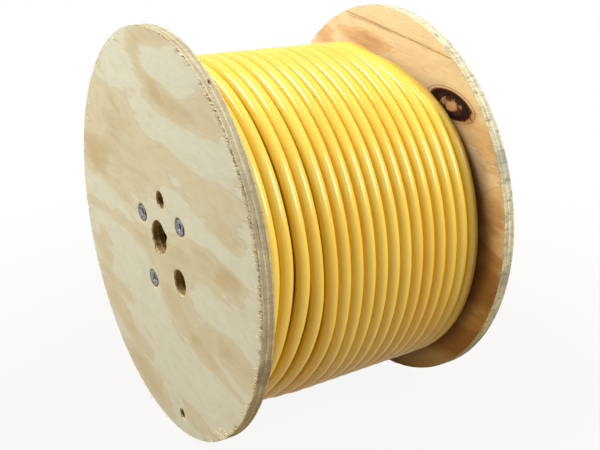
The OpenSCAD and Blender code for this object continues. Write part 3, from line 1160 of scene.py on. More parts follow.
@dataclass
class Flange:
    """One plywood disc, with its plies, holes, torn edges and loose fibres."""

    name: str
    sizes: SpoolSizes
    side: int
    seed: int
    bores: tuple[Bore, ...]
    finishes: tuple[Material, ...]
    fibre: Material
    outer_tears: Tears
    inner_tears: Tears
    voids: tuple[Void, ...] = ()
    plies: tuple[float, ...] = (0.0032, 0.0040, 0.0041, 0.0040, 0.0032)
    recess: tuple[float, ...] = (0.0, 0.0002, 0.00005, 0.00025, 0.0)
    sides: int = 1440
    groove_sides: int = 180
    border: float = 0.013
    fill_step: float = 0.022
    grain_turn: float = -4.0
    arris: float = 0.0006
    glue_line: float = 0.00022
    sawn_in: float = 0.00012
    grit: float = 0.00045
    fray: float = 0.0003
    glue_in: float = 0.0002
    rub_and_painted_shade: float = 0.00006
    corner: tuple[tuple[float, float], ...] = ((0.0004, 0.00004), (0.00012, 0.00022))

    def y(self, depth: Array | float) -> Array | float:
        """The place on Y at a depth below the outer face."""
        outer = self.side * (self.sizes.traverse / 2 + self.sizes.ply_t)
        return outer - self.side * depth

    def _tear(self, angle: float, *measures: float) -> tuple[float, ...]:
        """A torn bit's row: x, z, the grain's direction inwards, and its measures."""
        r, grain = self.sizes.flange_r, math.radians(self.grain_turn)
        inward = -math.copysign(1.0, math.cos(angle - grain))
        return (r * math.cos(angle), r * math.sin(angle), inward * math.cos(grain),
                inward * math.sin(grain), *measures)

    def _torn(self, tears: Tears) -> Array:
        """Places the torn bits of one face.

        Args:
            tears: Where and how the veneer is torn.

        Returns:
            A row for each: x, z, the grain's direction inwards, length, half width, depth, and
            how a fibre stands loose there.
        """
        rng = np.random.default_rng(tears.seed)
        grain = math.radians(self.grain_turn)
        rows = []
        for _ in range(tears.count):
            if rng.random() < tears.even:
                angle = rng.uniform(-math.pi, math.pi)
            else:
                angle = math.radians(rng.normal(tears.middle, tears.spread))
            across = abs(math.cos(angle - grain))
            long = tears.longest * (0.25 + 0.75 * rng.random() ** 2) * (0.35 + 0.65 * across)
            rows.append(self._tear(angle, long, rng.uniform(0.0010, 0.0024),
                                   tears.deepest * rng.uniform(0.25, 1.0),
                                   Loose.SHORT if rng.random() < 0.75 else Loose.NONE))
        for count, middle, spread, long in tears.tufts:
            for _ in range(count):
                angle = math.radians(middle + spread * rng.uniform(-1.0, 1.0))
                rows.append(self._tear(angle, long * rng.uniform(0.45, 1.0),
                                       rng.uniform(0.0005, 0.0010),
                                       tears.deepest * rng.uniform(0.04, 0.10), Loose.TUFT))
        return np.array(rows, float)

    @staticmethod
    def _tear_depth(torn: Array, points: Array) -> Array:
        """Works out how deep a face is torn near the rim.

        Args:
            torn: The torn bits' rows.
            points: The points of a loop.

        Returns:
            The depth at each point.
        """
        depth = np.zeros(len(points))
        for px, pz, ux, uz, long, half, deep, _ in torn:
            dx, dz = points[:, 0] - px, points[:, 2] - pz
            u, v = dx * ux + dz * uz, -dx * uz + dz * ux
            along = np.clip(1.7 - 1.7 * u / long, 0, 1)
            across = np.clip(1.8 - 1.5 * np.abs(v) / half, 0, 1)
            depth = np.maximum(depth, deep * (along * across) * (u > -0.003))
        return depth

    def _rim_rows(self) -> list[tuple[float, float, bool]]:
        """The rim's loops: how far in from the rim, the depth, and whether it is a glue line."""
        face = [self.border * f for f in (1, 0.76, 0.58, 0.43, 0.31, 0.22, 0.15, 0.10, 0.06)]
        rows = [(inset, 0.0, False) for inset in face]
        rows += [(inset, depth, False) for inset, depth in self.corner]
        top, last = 0.0, len(self.plies) - 1
        for number, thickness in enumerate(self.plies):
            low, high = top + (self.glue_line if number else self.arris), top + thickness
            stop = high - (self.arris if number == last else self.glue_line)
            rows += [(0.0, float(d), False) for d in np.linspace(low, stop, 5)]
            if number < last:
                rows.append((0.0, high, True))
            top = high
        t = self.sizes.ply_t
        rows += [(inset, t - depth, False) for inset, depth in reversed(self.corner)]
        rows += [(inset, t, False) for inset in reversed(face)]
        return rows

    def _rim_in(self, angles: Array, depth: float, glue: bool) -> Array:
        """Works out how far the rim's surface lies inside its full radius.

        Args:
            angles: The directions of the rim's points.
            depth: The depth below the outer face.
            glue: Whether that is a glue line.

        Returns:
            The distance at each point.
        """
        bounds = np.cumsum(self.plies)
        ply = int(min(np.searchsorted(bounds, depth), len(self.plies) - 1))
        points = circle(self.sizes.flange_r, depth, self.sides)
        end_grain = np.cos(angles) ** 2 if ply % 2 == 0 else np.sin(angles) ** 2
        drift = ripple(points, (13.0, 1.0, 13.0), self.seed + ply * 3)
        fibre = ripple(points, (70.0, 1500.0, 70.0), self.seed + 1)
        grit = ripple(points, (430.0, 520.0, 430.0), self.seed + 2)
        inward = self.sawn_in + self.recess[ply] * (0.7 + 0.7 * drift)
        inward = inward + end_grain * self.grit * np.clip(grit + 0.15, 0, 1)
        inward = inward + (1 - end_grain) * self.fray * np.clip(fibre + 0.2, 0, 1)
        if glue:
            inward = inward + self.glue_in * np.clip(0.4 + 1.6 * drift, 0, 1.6)
        for void in self.voids:
            away = turn_from(angles, void.angle) * self.sizes.flange_r / void.long
            off = away ** 2 + ((depth - void.depth) / void.high) ** 2
            inward = inward + void.deep * np.exp(-off ** 2)
        return np.clip(inward, 0.00002, None)

    def _rim(self, solid: Solid) -> tuple[Array, Array]:
        """Adds the rim and the faces' borders.

        Args:
            solid: Takes the loops.

        Returns:
            The loops where the outer and the inner face begin.
        """
        angles = around(self.sides)
        t = self.sizes.ply_t
        edge = circle(self.sizes.flange_r - 0.0002, 0.0, self.sides)
        torn = self._torn(self.outer_tears), self._torn(self.inner_tears)
        torn_out, torn_in = (self._tear_depth(one, edge) for one in torn)
        loops: list[Array] = []
        rows = self._rim_rows()
        for inset, depth, glue in rows:
            on_face = depth in (0.0, t)
            inward = np.full(self.sides, inset)
            if not on_face:
                inward = inward + self._rim_in(angles, depth, glue)
            points = circle(self.sizes.flange_r - inward, 0.0, self.sides)
            deep = np.full(self.sides, depth)
            if on_face and inset < self.border:
                worn = self._tear_depth(torn[0] if depth == 0.0 else torn[1], points)
                wear = np.clip(ripple(points, (90, 1, 90), self.seed + 5) + 0.3, 0, 1)
                worn = worn + self.rub_and_painted_shade * wear * ease(1 - inset / self.border)
                deep = worn if depth == 0.0 else t - worn
            elif not on_face:
                deep = np.maximum(deep, torn_out * (1 + 0.02 * depth / t))
                deep = np.minimum(deep, t - torn_in * (1 + 0.02 * (1 - depth / t)))
            points[:, 1] = self.y(deep)
            loops.append(solid.loop(points))
        middle = len(rows) // 2
        for number, (a, b) in enumerate(zip(loops[:-1], loops[1:])):
            face = rows[number][1] == rows[number + 1][1] and rows[number][1] in (0.0, t)
            slot = Slot.EDGE if not face else Slot.OUTER if number < middle else Slot.INNER
            solid.bridge(a, b, slot)
        return loops[0], loops[-1]

    @staticmethod
    def _lip(rough: float, away: float, deep: float) -> float:
        """How much of a tear shows: all in the hole, less on the face away from its lip."""
        return 1.0 if rough > 0 else float(ease(1.6 - away / deep))

    def _bore(self, solid: Solid, bore: Bore) -> tuple[Array, Array]:
        """Adds one hole with its lips.

        Args:
            solid: Takes the loops.
            bore: The hole.

        Returns:
            The loops where the outer and the inner face begin.
        """
        first, last = bore.steps[0][0], bore.steps[-1][0]
        t, soft, arris = self.sizes.ply_t, 0.0002, 0.0004
        lip_out, lip_down, lip_rough, step_rough = 0.0005, 0.00003, 0.6, 0.5
        rows: list[Triple] = [
            (first + bore.collar * f, bore.dish * d, 0.0)
            for f, d in ((1.0, 0.0), (0.5, 0.35), (0.22, 0.8))]
        rows.append((first + lip_out, bore.dish + lip_down, lip_rough))
        for (r0, d0), (r1, d1) in zip(bore.steps[:-1], bore.steps[1:]):
            if r1 != r0:
                rows += [(r0, d0 - soft / 2, step_rough), (r0 - soft, d0, step_rough),
                         (r1 + soft, d1, step_rough)]
                continue
            count = max(2, int((d1 - d0) / 0.002))
            start = d0 + (arris + bore.dish if d0 == 0.0 else soft)
            stop = d1 - (arris if d1 == t else soft)
            rows += [(r0, float(d), 1.0) for d in np.linspace(start, stop, count)]
        rows.append((last + lip_out, t - lip_down, lip_rough))
        rows += [(last + bore.collar * f, t, 0.0) for f in (0.22, 0.5, 1.0)]
        angles = around(bore.sides)
        loops: list[Array] = []
        for radius, depth, rough in rows:
            points = circle(radius, depth, bore.sides, (bore.x, bore.z))
            grit = ripple(points, (420, 260, 420), self.seed + 9)
            slow = ripple(points, (150, 60, 150), self.seed + 11)
            grow = rough * bore.ragged * (1.3 * grit + slow)
            low = np.clip(-np.sin(angles + 0.3), 0, 1) ** 0.5 * float(1 - ease(depth / 0.004))
            splinters = ripple(points, (700, 60, 700), self.seed + 13)
            grow = grow + bore.splinter * low * self._lip(
                rough, radius - first, max(bore.splinter, 1e-6)) * np.clip(
                    splinters * 2.2 + 0.5, -0.1, 1.1)
            for notch in bore.notches:
                turn = np.degrees(turn_from(angles, notch.angle))
                fade = 1.0 if depth < t * 0.5 else 0.4
                if notch.lip_only:
                    fade = float(1.0 - ease(depth / 0.0045))
                grow = grow + notch.deep * fade * np.exp(-(turn / notch.half_width) ** 2) * (
                    1 + 0.3 * grit) * self._lip(rough, radius - first, notch.deep)
            points = circle(radius + grow, 0.0, bore.sides, (bore.x, bore.z))
            points[:, 1] = self.y(depth)
            loops.append(solid.loop(points))
        collar_loops = 3
        for number, (a, b) in enumerate(zip(loops[:-1], loops[1:])):
            torn = rows[number + 1][1] < 0.0035 and len(bore.steps) == 2
            slot = Slot.TORN if torn else Slot.BORE
            if number < collar_loops:
                slot = Slot.OUTER
            elif number >= len(loops) - 1 - collar_loops:
                slot = Slot.INNER
            solid.bridge(a, b, slot)
        return loops[0], loops[-1]

    def _groove(self, solid: Solid) -> tuple[Array, Array]:
        """Adds the groove that takes the drum.

        Args:
            solid: Takes the loops.

        Returns:
            The groove's outer and inner loop on the face.
        """
        t, deep = self.sizes.ply_t, self.sizes.groove_depth
        wide = self.sizes.drum_r + FIT
        narrow = self.sizes.drum_r - self.sizes.drum_wall - FIT
        rows = ((wide, t), (wide, t - deep), (narrow, t - deep), (narrow, t))
        loops = [solid.loop(circle(r, self.y(d), self.groove_sides)) for r, d in rows]
        solid.stack(loops, Slot.BORE)
        return loops[0], loops[-1]

    def build(self) -> Object:
        """Builds the disc."""
        solid = Solid()
        outer_rim, inner_rim = self._rim(solid)
        bores = [self._bore(solid, bore) for bore in self.bores]
        wide, narrow = self._groove(solid)
        far = [math.hypot(bore.x, bore.z) >= self.sizes.drum_r for bore in self.bores]
        within = [loop for (_, loop), out in zip(bores, far) if not out]
        beyond = [loop for (_, loop), out in zip(bores, far) if out]
        solid.fill(outer_rim, [loop for loop, _ in bores], Slot.OUTER, self.fill_step)
        solid.fill(inner_rim, [wide, *beyond], Slot.INNER, self.fill_step)
        solid.fill(narrow, within, Slot.INNER, self.fill_step)
        return solid.piece(self.name, (*self.finishes, self.fibre), 32.0)

    def loose_fibres(self, recipe: Recipe, kind: FibreKind) -> Object:
        """Adds the fibres of one kind that stand loose where the veneer is torn.

        Args:
            recipe: The recipe for torn fibres.
            kind: Which fibres, and how long and wild they are.

        Returns:
            The fibres as one piece.
        """
        root = 0.0006
        places, headings, sides = [], [], []
        for tears, depth, outward in ((self.outer_tears, 0.0004, self.side),
                                      (self.inner_tears, self.sizes.ply_t - 0.0004, -self.side)):
            for px, pz, ux, uz, *_, loose in self._torn(tears):
                if loose == kind.loose:
                    places.append((px + ux * root, self.y(depth), pz + uz * root))
                    headings.append(math.atan2(uz, ux))
                    sides.append(math.copysign(1.0, ux) * outward)
        mesh = bpy.data.meshes.new(self.name + "_torn_points")
        mesh.from_pydata(places, [], [])
        for name, values in (("heading", headings), ("side", sides)):
            mesh.attributes.new(name, "FLOAT", "POINT").data.foreach_set("value", values)
        fibres = recipe.run(
            self.name + kind.suffix, mesh, Seed=self.seed,
            Shortest=kind.shortest, Longest=kind.longest, Lift=kind.lift,
            Spread=kind.spread, Material=self.fibre)
        sharpen(fibres)
        return fibres


# ---------- Fastenings ----------
def joined(name: str, pieces: Sequence[Object]) -> Object:
    """Joins pieces into one, which keeps their materials.

    Args:
        name: The new piece's name.
        pieces: What it is made of. They leave the scene.

    Returns:
        The new piece.
    """
    mesh = bpy.data.meshes.new(name)
    bm = bmesh.new()
    materials: list[Material] = []
    for piece in pieces:
        start = len(bm.faces)
        bm.from_mesh(piece.data)
        bm.faces.ensure_lookup_table()
        for face in bm.faces[start:]:
            own = piece.data.materials[face.material_index]
            if own not in materials:
                materials.append(own)
            face.material_index = materials.index(own)
    bm.to_mesh(mesh)
    bm.free()
    for material in materials:
        mesh.materials.append(material)
    for piece in pieces:
        bpy.data.objects.remove(piece)
    return add_piece(name, mesh)


def settle(piece: Object, matrix: Matrix) -> Object:
    """Moves a piece's mesh and returns the piece."""
    piece.data.transform(matrix)
    piece.data.update()
    return piece


@dataclass
class TieBolt:
    """A hex bolt from the rear flange to a tee nut in the front flange."""

    sizes: SpoolSizes
    zinc: Material
    pitch: float = 0.0015875
    thread: float = 0.042
    set_back: float = 0.0042
    first_turn: float = 17.0
    next_turn: float = 41.0

    def _head(self, seat: float) -> Object:
        """Builds the hexagonal head with its turned-off corners.

        Args:
            seat: Where it sits on Y.

        Returns:
            The head.
        """
        half, high, sides = self.sizes.head_af / 2, self.sizes.head_h, 96

        def hexagon(a: Array) -> Array:
            """The hexagon's radius at each angle."""
            return half / np.cos((a + math.pi / 6) % (math.pi / 3) - math.pi / 6)

        solid = Solid()
        outline = hexagon(around(sides))
        flat_r = half * 0.95
        corner = high - (outline - flat_r) * math.tan(math.radians(28))
        loops = [
            circle(half * 0.93, seat, sides), circle(half * 0.95, seat + 0.0004, sides),
            circle(outline - 0.0002, seat + 0.0004, sides), circle(outline, seat + 0.0006, sides),
            circle(outline, seat + corner - 0.0002, sides),
            circle(outline - 0.0002, seat + corner, sides), circle(flat_r, seat + high, sides)]
        numbers = [solid.loop(p) for p in loops]
        solid.stack(numbers)
        solid.cap(numbers[-1])
        solid.cap(numbers[0])
        return solid.piece("head", (self.zinc,), 24.0)

    def _shank(self, tip: float, seat: float) -> Object:
        """Builds the shank, thinner where it is threaded, with a pointed tip.

        Args:
            tip: Where its tip lies on Y.
            seat: Where the head sits on Y.

        Returns:
            The shank.
        """
        r, root = self.sizes.bolt_d / 2, self.sizes.bolt_d / 2 - 0.0009
        rows = ((root - 0.0012, tip), (root, tip + 0.0012), (root, tip + self.thread),
                (r, tip + self.thread + 0.0012), (r, seat + 0.0005))
        solid = Solid()
        numbers = [solid.loop(p) for p in turned(rows, 40)]
        solid.stack(numbers)
        solid.cap(numbers[0])
        solid.cap(numbers[-1])
        return solid.piece("shank", (self.zinc,), 30.0)

    def _thread(self, tube: Recipe, tip: float) -> Object:
        """Winds the thread's ridge round the shank.

        Args:
            tube: The recipe for round tubes.
            tip: Where the bolt's tip lies on Y.

        Returns:
            The ridge.
        """
        turns = (self.thread - 0.001) / self.pitch
        steps = int(turns * 20)
        a = np.linspace(0, 2 * math.pi * turns, steps)
        r = self.sizes.bolt_d / 2 - 0.00075
        line = np.stack([r * np.cos(a), tip + 0.0009 + a / (2 * math.pi) * self.pitch,
                         r * np.sin(a)], 1)
        return tube.run("thread", line_mesh("thread", line), Radius=0.00072, Sides=4,
                        Material=self.zinc)

    def build(self, number: int, tube: Recipe) -> Object:
        """Builds one bolt.

        Args:
            number: Which bolt, from 0.
            tube: The recipe for round tubes.

        Returns:
            The bolt, in its place.
        """
        s = self.sizes
        tip = s.front_out + s.nut_recess - s.nut_t + self.set_back
        seat = s.rear_out - s.head_recess + s.washer_t
        piece = joined(f"hex_bolt_{number + 1}",
                       [self._shank(tip, seat), self._thread(tube, tip), self._head(seat)])
        sharpen(piece, 24.0)
        angle = self.first_turn + self.next_turn * number
        turn = Matrix.Rotation(math.radians(angle), 4, "Y")
        return settle(piece, Matrix.Translation(polar(*s.bolts_at[number])) @ turn)


@dataclass
class Washer:
    """A flat washer under a bolt's head."""

    sizes: SpoolSizes
    zinc: Material

    def build(self, number: int) -> Object:
        """Builds one washer.

        Args:
            number: Which washer, from 0.

        Returns:
            The washer, in its place.
        """
        s = self.sizes
        low, high = s.rear_out - s.head_recess, s.rear_out - s.head_recess + s.washer_t
        bore, rim, soft = s.bolt_d / 2 + FIT, s.washer_d / 2, 0.0003
        rows = ((bore, low + soft), (bore + soft, low), (rim - soft * 2, low),
                (rim - soft * 0.5, low + soft), (rim, low + 0.0008), (rim, high - soft * 1.5),
                (rim - soft, high), (bore + soft, high), (bore, high - soft))
        solid = Solid()
        solid.stack([solid.loop(p) for p in turned(rows, 72)], closed=True)
        piece = solid.piece(f"flat_washer_{number + 1}", (self.zinc,), 40.0)
        return settle(piece, Matrix.Translation(polar(*s.bolts_at[number])))


@dataclass
class TeeNut:
    """A pronged tee nut, driven into a shallow counterbore of the front flange."""

    sizes: SpoolSizes
    zinc: Material
    prong: Triple = (0.0045, 0.0012, 0.006)
    notch_depth: float = 0.0026

    def _flange(self) -> Object:
        """The pressed flange with its notches and the barrel behind it."""
        s, sides = self.sizes, 144
        rim, bore, barrel = s.nut_d / 2, (s.bolt_d + FIT) / 2, s.barrel_d / 2
        end = s.nut_t + s.barrel_h

        def outline(a: Array) -> Array:
            """The flange's radius at each angle, less in its three notches."""
            off = (a + math.pi / 3) % (2 * math.pi / 3) - math.pi / 3
            across = np.abs(rim * np.sin(off))
            cut = np.clip((self.prong[0] / 2 - across) / 0.0005, 0, 1)
            return rim - self.notch_depth * cut

        rows = ((bore, end), (bore, 0.0022), (bore + 0.0005, 0.0012), (bore + 0.0016, 0.0004),
                (bore + 0.0028, 0.0), (-0.0007, 0.0), (-0.0002, 0.00015), (-0.00001, 0.0005),
                (-0.00001, s.nut_t - 0.0004), (-0.0004, s.nut_t), (barrel + 0.0008, s.nut_t),
                (barrel, s.nut_t + 0.0008), (barrel, end - 0.0003), (barrel - 0.0003, end))
        solid = Solid()
        solid.stack([solid.loop(p) for p in turned(rows, sides, outline)], closed=True)
        return solid.piece("flange", (self.zinc,), 35.0)

    def _prong(self) -> Mesh:
        """One prong, bent back from the edge of the flange, before it is repeated."""
        wide, thick, long = self.prong
        out = self.sizes.nut_d / 2 - 0.0015
        rows = ((0.0009, 1.0, 1.0), (0.0016, 1.0, 0.95), (0.0016 + long * 0.6, 0.85, 0.8),
                (0.0016 + long, 0.12, 0.45))
        points, faces = [], []
        for y, across, through in rows:
            w, d = wide / 2 * across, thick * through
            points += [(out - d, y, -w), (out, y, -w), (out, y, w), (out - d, y, w)]
        for row in range(len(rows) - 1):
            for i in range(4):
                a, b = row * 4 + i, row * 4 + (i + 1) % 4
                faces.append((a, b, b + 4, a + 4))
        faces += [(3, 2, 1, 0), tuple(range(len(points) - 4, len(points)))]
        mesh = bpy.data.meshes.new("prong")
        mesh.from_pydata(points, [], faces)
        return face_outwards(mesh)

    def build(self, number: int, array: Recipe) -> Object:
        """Builds one tee nut.

        Args:
            number: Which tee nut, from 0.
            array: The recipe for copies round an axis.

        Returns:
            The tee nut, in its place.
        """
        s = self.sizes
        prongs = array.run("prongs", self._prong(), Count=3, First_turn=math.pi / 3,
                           Material=self.zinc)
        piece = joined(f"pronged_nut_{number + 1}", [self._flange(), prongs])
        sharpen(piece, 35.0)
        place = polar(*s.bolts_at[number], s.front_out + s.nut_recess - s.nut_t)
        return settle(piece, Matrix.Translation(place))


# ---------- Cable ----------
@dataclass(frozen=True)
class OuterCourse:
    """The line that the outer layer follows, as the part's source has it, but for its two ends.

    The last turns fall away towards the rear flange over the top right, and the first turns are
    drawn in a little underneath.
    """

    sizes: SpoolSizes
    turn_gap: float = 0.0014
    first_turn: float = 0.0267
    wide_gap_a: float = 0.003
    wide_gap_b: float = 0.0024
    wound_r_front: float = 0.266
    wound_r_rear: float = 0.2615
    sag: float = 0.0106
    layer_rise: float = 0.0182
    staple_wire: float = 0.003
    turns: int = 17
    step_span: float = 56.0
    step_front: float = -12.0
    step_rear: float = -62.0
    step_reach: float = 4.0
    layer_start: float = -150.0
    climb_span: float = 60.0
    tail_angle: float = 200.0
    tail_span: float = 40.0
    fall: float = 0.151
    fall_from: float = 0.957
    fall_reach: float = 0.139
    fall_soft: float = 0.008
    fall_arc: tuple[float, float] = (26.0, 46.0)
    fall_end: tuple[float, float] = (86.0, 24.0)
    drawn_in: float = 0.008
    drawn_part: tuple[float, float] = (0.36, 0.33)

    @property
    def end_angle(self) -> float:
        """Where the last turn ends, in degrees."""
        return 360.0 * (self.turns - 1) + self.tail_angle

    def turn_y(self, k: int) -> float:
        """Where turn k lies on Y."""
        s = self.sizes
        if k == 0:
            return s.front_in + s.cable_d / 2 + FIT
        gaps = (self.wide_gap_a if k > 2 else 0.0) + (self.wide_gap_b if k > 4 else 0.0)
        return s.front_in + self.first_turn + (k - 1) * (s.cable_d + self.turn_gap) + gaps

    def step_at(self, k: int) -> float:
        """Where the cable steps over to turn k, in degrees."""
        drift = math.exp(-(((k - 1) / self.step_reach) ** 2.5))
        return 360.0 * (k - 1) + self.step_rear + (self.step_front - self.step_rear) * drift

    @property
    def tail_y(self) -> float:
        """Where the tail lies on Y, beside the rear flange."""
        return self.sizes.rear_in - self.sizes.cable_d / 2 - 2 * FIT

    def slack(self, a: Array, y: Array) -> Array:
        """Works out how far the last turns fall away, and how far the first ones are drawn in.

        Args:
            a: Angles along the line, in degrees.
            y: The places on Y there.

        Returns:
            The distance at each place.
        """
        local = (a + 180.0) % 360.0 - 180.0
        part = (y - self.sizes.front_in) / self.sizes.traverse
        (start, rise), (end, drop), (stop, span) = self.fall_arc, self.fall_end, self.drawn_part
        reach = ease((local - start) / rise) * (1.0 - ease((local - end) / drop))
        over = part - (self.fall_from - self.fall_reach * reach)
        below = ease((-20.0 - local) / 30.0) * ease((local + 140.0) / 45.0)
        return (self.fall * reach ** 0.25 * (over + np.hypot(over, self.fall_soft)) / 2
                + self.drawn_in * below * ease((stop - part) / span))

    def wound_r(self, y: Array | float) -> Array | float:
        """The winding's outer radius at a place on Y."""
        part = (y - self.sizes.front_in) / self.sizes.traverse
        return self.wound_r_front + (self.wound_r_rear - self.wound_r_front) * part

    def at(self, a: Array) -> Array:
        """Works out points of the line.

        Args:
            a: Their angles along the line, in degrees.

        Returns:
            The points, as rows.
        """
        s = self.sizes
        y = np.full(a.shape, self.turn_y(0))
        for k in range(1, self.turns + 1):
            y = y + (self.turn_y(k) - self.turn_y(k - 1)) * ease(
                (a - self.step_at(k)) / self.step_span + 0.5)
        tail = ease((a - self.end_angle + self.tail_span) / self.tail_span)
        y = y + tail * (self.tail_y - y)
        r = (self.wound_r(y) - s.cable_d / 2
             - self.layer_rise * (1 - ease((a - self.layer_start) / self.climb_span))
             + (self.staple_wire + 2 * FIT) * tail - self.slack(a, y))
        return np.stack([r * np.cos(np.radians(a)), y, r * np.sin(np.radians(a)) - self.sag], 1)

    @staticmethod
    def heading(a: float) -> Array:
        """The way round the spool at an angle."""
        return np.array([-math.sin(math.radians(a)), 0.0, math.cos(math.radians(a))])

    def line(self, per_turn: int) -> Array:
        """The whole line with its two straight ends.

        Args:
            per_turn: Points in a turn.

        Returns:
            The points, from the layer below to the cable's end.
        """
        steps = round((self.end_angle - self.layer_start) / 360.0 * per_turn)
        a = np.linspace(self.layer_start, self.end_angle, steps + 1)
        points = self.at(a)
        start = points[0] - self.sizes.cable_d * self.heading(self.layer_start)
        end = points[-1] + self.sizes.cable_d * self.heading(self.end_angle)
        return np.vstack([start, points, end])


@dataclass(frozen=True)
class InnerCourse:
    """The line of the six layers under the outer one, wound to and fro as one length."""

    outer: OuterCourse
    layers: int = 6
    turns: int = 17
    pitch: float = 0.02095
    near_front: float = 0.0164
    far_front: float = 0.0268
    step_at: float = 80.0
    step_span: float = 50.0
    climb_span: float = 60.0
    join_span: float = 120.0

    def line(self, per_turn: int) -> Array:
        """The whole line, from the drum to the outer layer.

        Args:
            per_turn: Points in a turn.

        Returns:
            The points of the line.
        """
        s, outer = self.outer.sizes, self.outer
        whole = 360.0 * self.turns
        total = np.linspace(0.0, whole * self.layers, self.layers * self.turns * per_turn + 1)
        layer = np.minimum((total // whole).astype(int), self.layers - 1)
        local = total - layer * whole
        across = self.pitch * (self.turns - 1)
        y = np.zeros(total.shape)
        for number in range(self.layers):
            forward = number % 2 == 0
            if forward:
                start, before = s.front_in + self.far_front, s.front_in + self.near_front
            else:
                start = s.front_in + self.near_front + across
                before = s.front_in + (self.far_front + across)
            if number == 0:
                before = start
            here = layer == number
            sign = 1.0 if forward else -1.0
            own = np.full(here.sum(), start)
            for k in range(1, self.turns):
                own += sign * self.pitch * ease(
                    (local[here] - self.step_at - 360.0 * (k - 1)) / self.step_span + 0.5)
            blend = ease(local[here] / self.climb_span)
            y[here] = before + (own - before) * blend
        climb = np.where(layer > 0, ease(local / self.climb_span), 1.0)
        level = np.maximum((layer - 1 + climb) / self.layers, 0.0)
        drum = s.drum_r + s.cable_d / 2 + FIT
        r = drum + level * (outer.wound_r(y) - s.cable_d / 2 - drum)
        r = r - level * outer.slack(total + outer.layer_start, y)
        a = np.radians(total + outer.layer_start)
        points = np.stack([r * np.cos(a), y, r * np.sin(a) - outer.sag * level], 1)
        goal = outer.line(8)[0]
        part = ease((total - total[-1] + self.join_span) / self.join_span)[:, None]
        return points + part * (goal - points[-1])


@dataclass
class CutEnd:
    """A square-cut end of the cable, with its three cores and their strands."""

    sizes: SpoolSizes
    cores: tuple[Material, ...]
    copper: Material
    filler: Material
    core_r: float = 0.0033
    core_reach: float = 0.0041
    strand_r: float = 0.00062
    jacket_t: float = 0.0021
    buried: float = 0.006

    def build(self, name: str, tip: Array, heading: Array, tube: Recipe) -> Object:
        """Builds the cores that show in a cut end.

        Args:
            name: The piece's name.
            tip: Where the jacket is cut.
            heading: The way that the cable points there.
            tube: The recipe for round tubes.

        Returns:
            The piece, in its place.
        """
        axis = Vector(heading).normalized()
        frame = axis.to_track_quat("Z", "Y").to_matrix().to_4x4()
        made = []

        def rod(x: float, y: float, radius: float, out: float, sides: int,
                material: Material) -> None:
            """Adds one straight rod along the cable, which ends a little past the cut."""
            line = np.array([(x, y, -self.buried), (x, y, out * 0.5), (x, y, out)])
            made.append(tube.run("rod", line_mesh("rod", line), Radius=radius, Sides=sides,
                                 Material=material))

        rod(0.0, 0.0, self.sizes.cable_d / 2 - self.jacket_t, 0.0002, 32, self.filler)
        for number, material in enumerate(self.cores):
            a = math.radians(90 + 360 / len(self.cores) * number)
            x, y = self.core_reach * math.cos(a), self.core_reach * math.sin(a)
            rod(x, y, self.core_r, 0.0006, 24, material)
            rod(x, y, self.strand_r, 0.0011, 6, self.copper)
            for strand in range(6):
                b = math.radians(60 * strand + 20 * number)
                rod(x + 2 * self.strand_r * math.cos(b), y + 2 * self.strand_r * math.sin(b),
                    self.strand_r, 0.0010, 6, self.copper)
        piece = joined(name, made)
        sharpen(piece, 40.0)
        return settle(piece, Matrix.Translation(Vector(tip)) @ frame)


@dataclass
class Winding:
    """The cable on the spool: its outer layer, the layers below it and its inner end."""

    sizes: SpoolSizes
    outer: OuterCourse
    jacket: Material
    dull_jacket: Material
    per_turn: int = 120
    sides: int = 22
    inner_per_turn: int = 36
    inner_sides: int = 10

    def _sweep(self, tube: Recipe, name: str, line: Array, sides: int, jacket: Material) -> Object:
        """Runs the cable along a line.

        Args:
            tube: The recipe for round tubes.
            name: The piece's name.
            line: The cable's middle line.
            sides: The jacket's sides.
            jacket: The jacket's material.

        Returns:
            The piece.
        """
        piece = tube.run(name, line_mesh(name + "_line", line), Radius=self.sizes.cable_d / 2,
                         Sides=sides, Material=jacket)
        sharpen(piece, 60.0)
        log.info("%s: %.2f m of cable", name, length_of(line))
        return piece

    def build_outer(self, tube: Recipe) -> tuple[Object, Array]:
        """Builds the outer layer and returns it with the line that it follows."""
        line = self.outer.line(self.per_turn)
        return self._sweep(tube, "cable_outer_turns", line, self.sides, self.jacket), line

    def build_inner(self, tube: Recipe) -> Object:
        """Builds the layers under the outer one."""
        line = InnerCourse(self.outer).line(self.inner_per_turn)
        return self._sweep(tube, "cable_inner_turns", line, self.inner_sides, self.dull_jacket)

    def build_start(self, tube: Recipe, angle: float = 110.0, inset: float = 0.03,
                    run: float = 0.006, bend: float = 0.03, tail: float = 0.04
                    ) -> tuple[Object, Array, Array]:
        """Builds the cable's inner end, inside the drum.

        Args:
            tube: The recipe for round tubes.
            angle: The direction in which it comes through the drum's wall, in degrees.
            inset: The distance of its way in from the front flange.
            run: Its straight run inside the drum's wall.
            bend: The radius of its bend.
            tail: The straight length after the bend.

        Returns:
            The piece, the place of its cut end and the way that it points.
        """
        s, a = self.sizes, math.radians(angle)
        inward = np.array([-math.cos(a), 0.0, -math.sin(a)])
        aside = np.array([math.sin(a), 0.0, -math.cos(a)])
        centre = np.array([0.0, s.front_in + inset, 0.0])
        entry = math.sqrt(s.drum_r ** 2 - (s.cable_d / 2) ** 2)
        begins = s.drum_r - s.drum_wall - run
        turn = np.linspace(0, math.pi / 2, 17)[:, None]
        curve = centre - begins * inward + bend * (
            np.sin(turn) * inward + (1 - np.cos(turn)) * aside)
        end = centre - (begins - bend) * inward + (bend + tail) * aside
        line = np.vstack([centre - entry * inward, curve, end])
        return self._sweep(tube, "cable_start", line, self.sides, self.jacket), end, aside


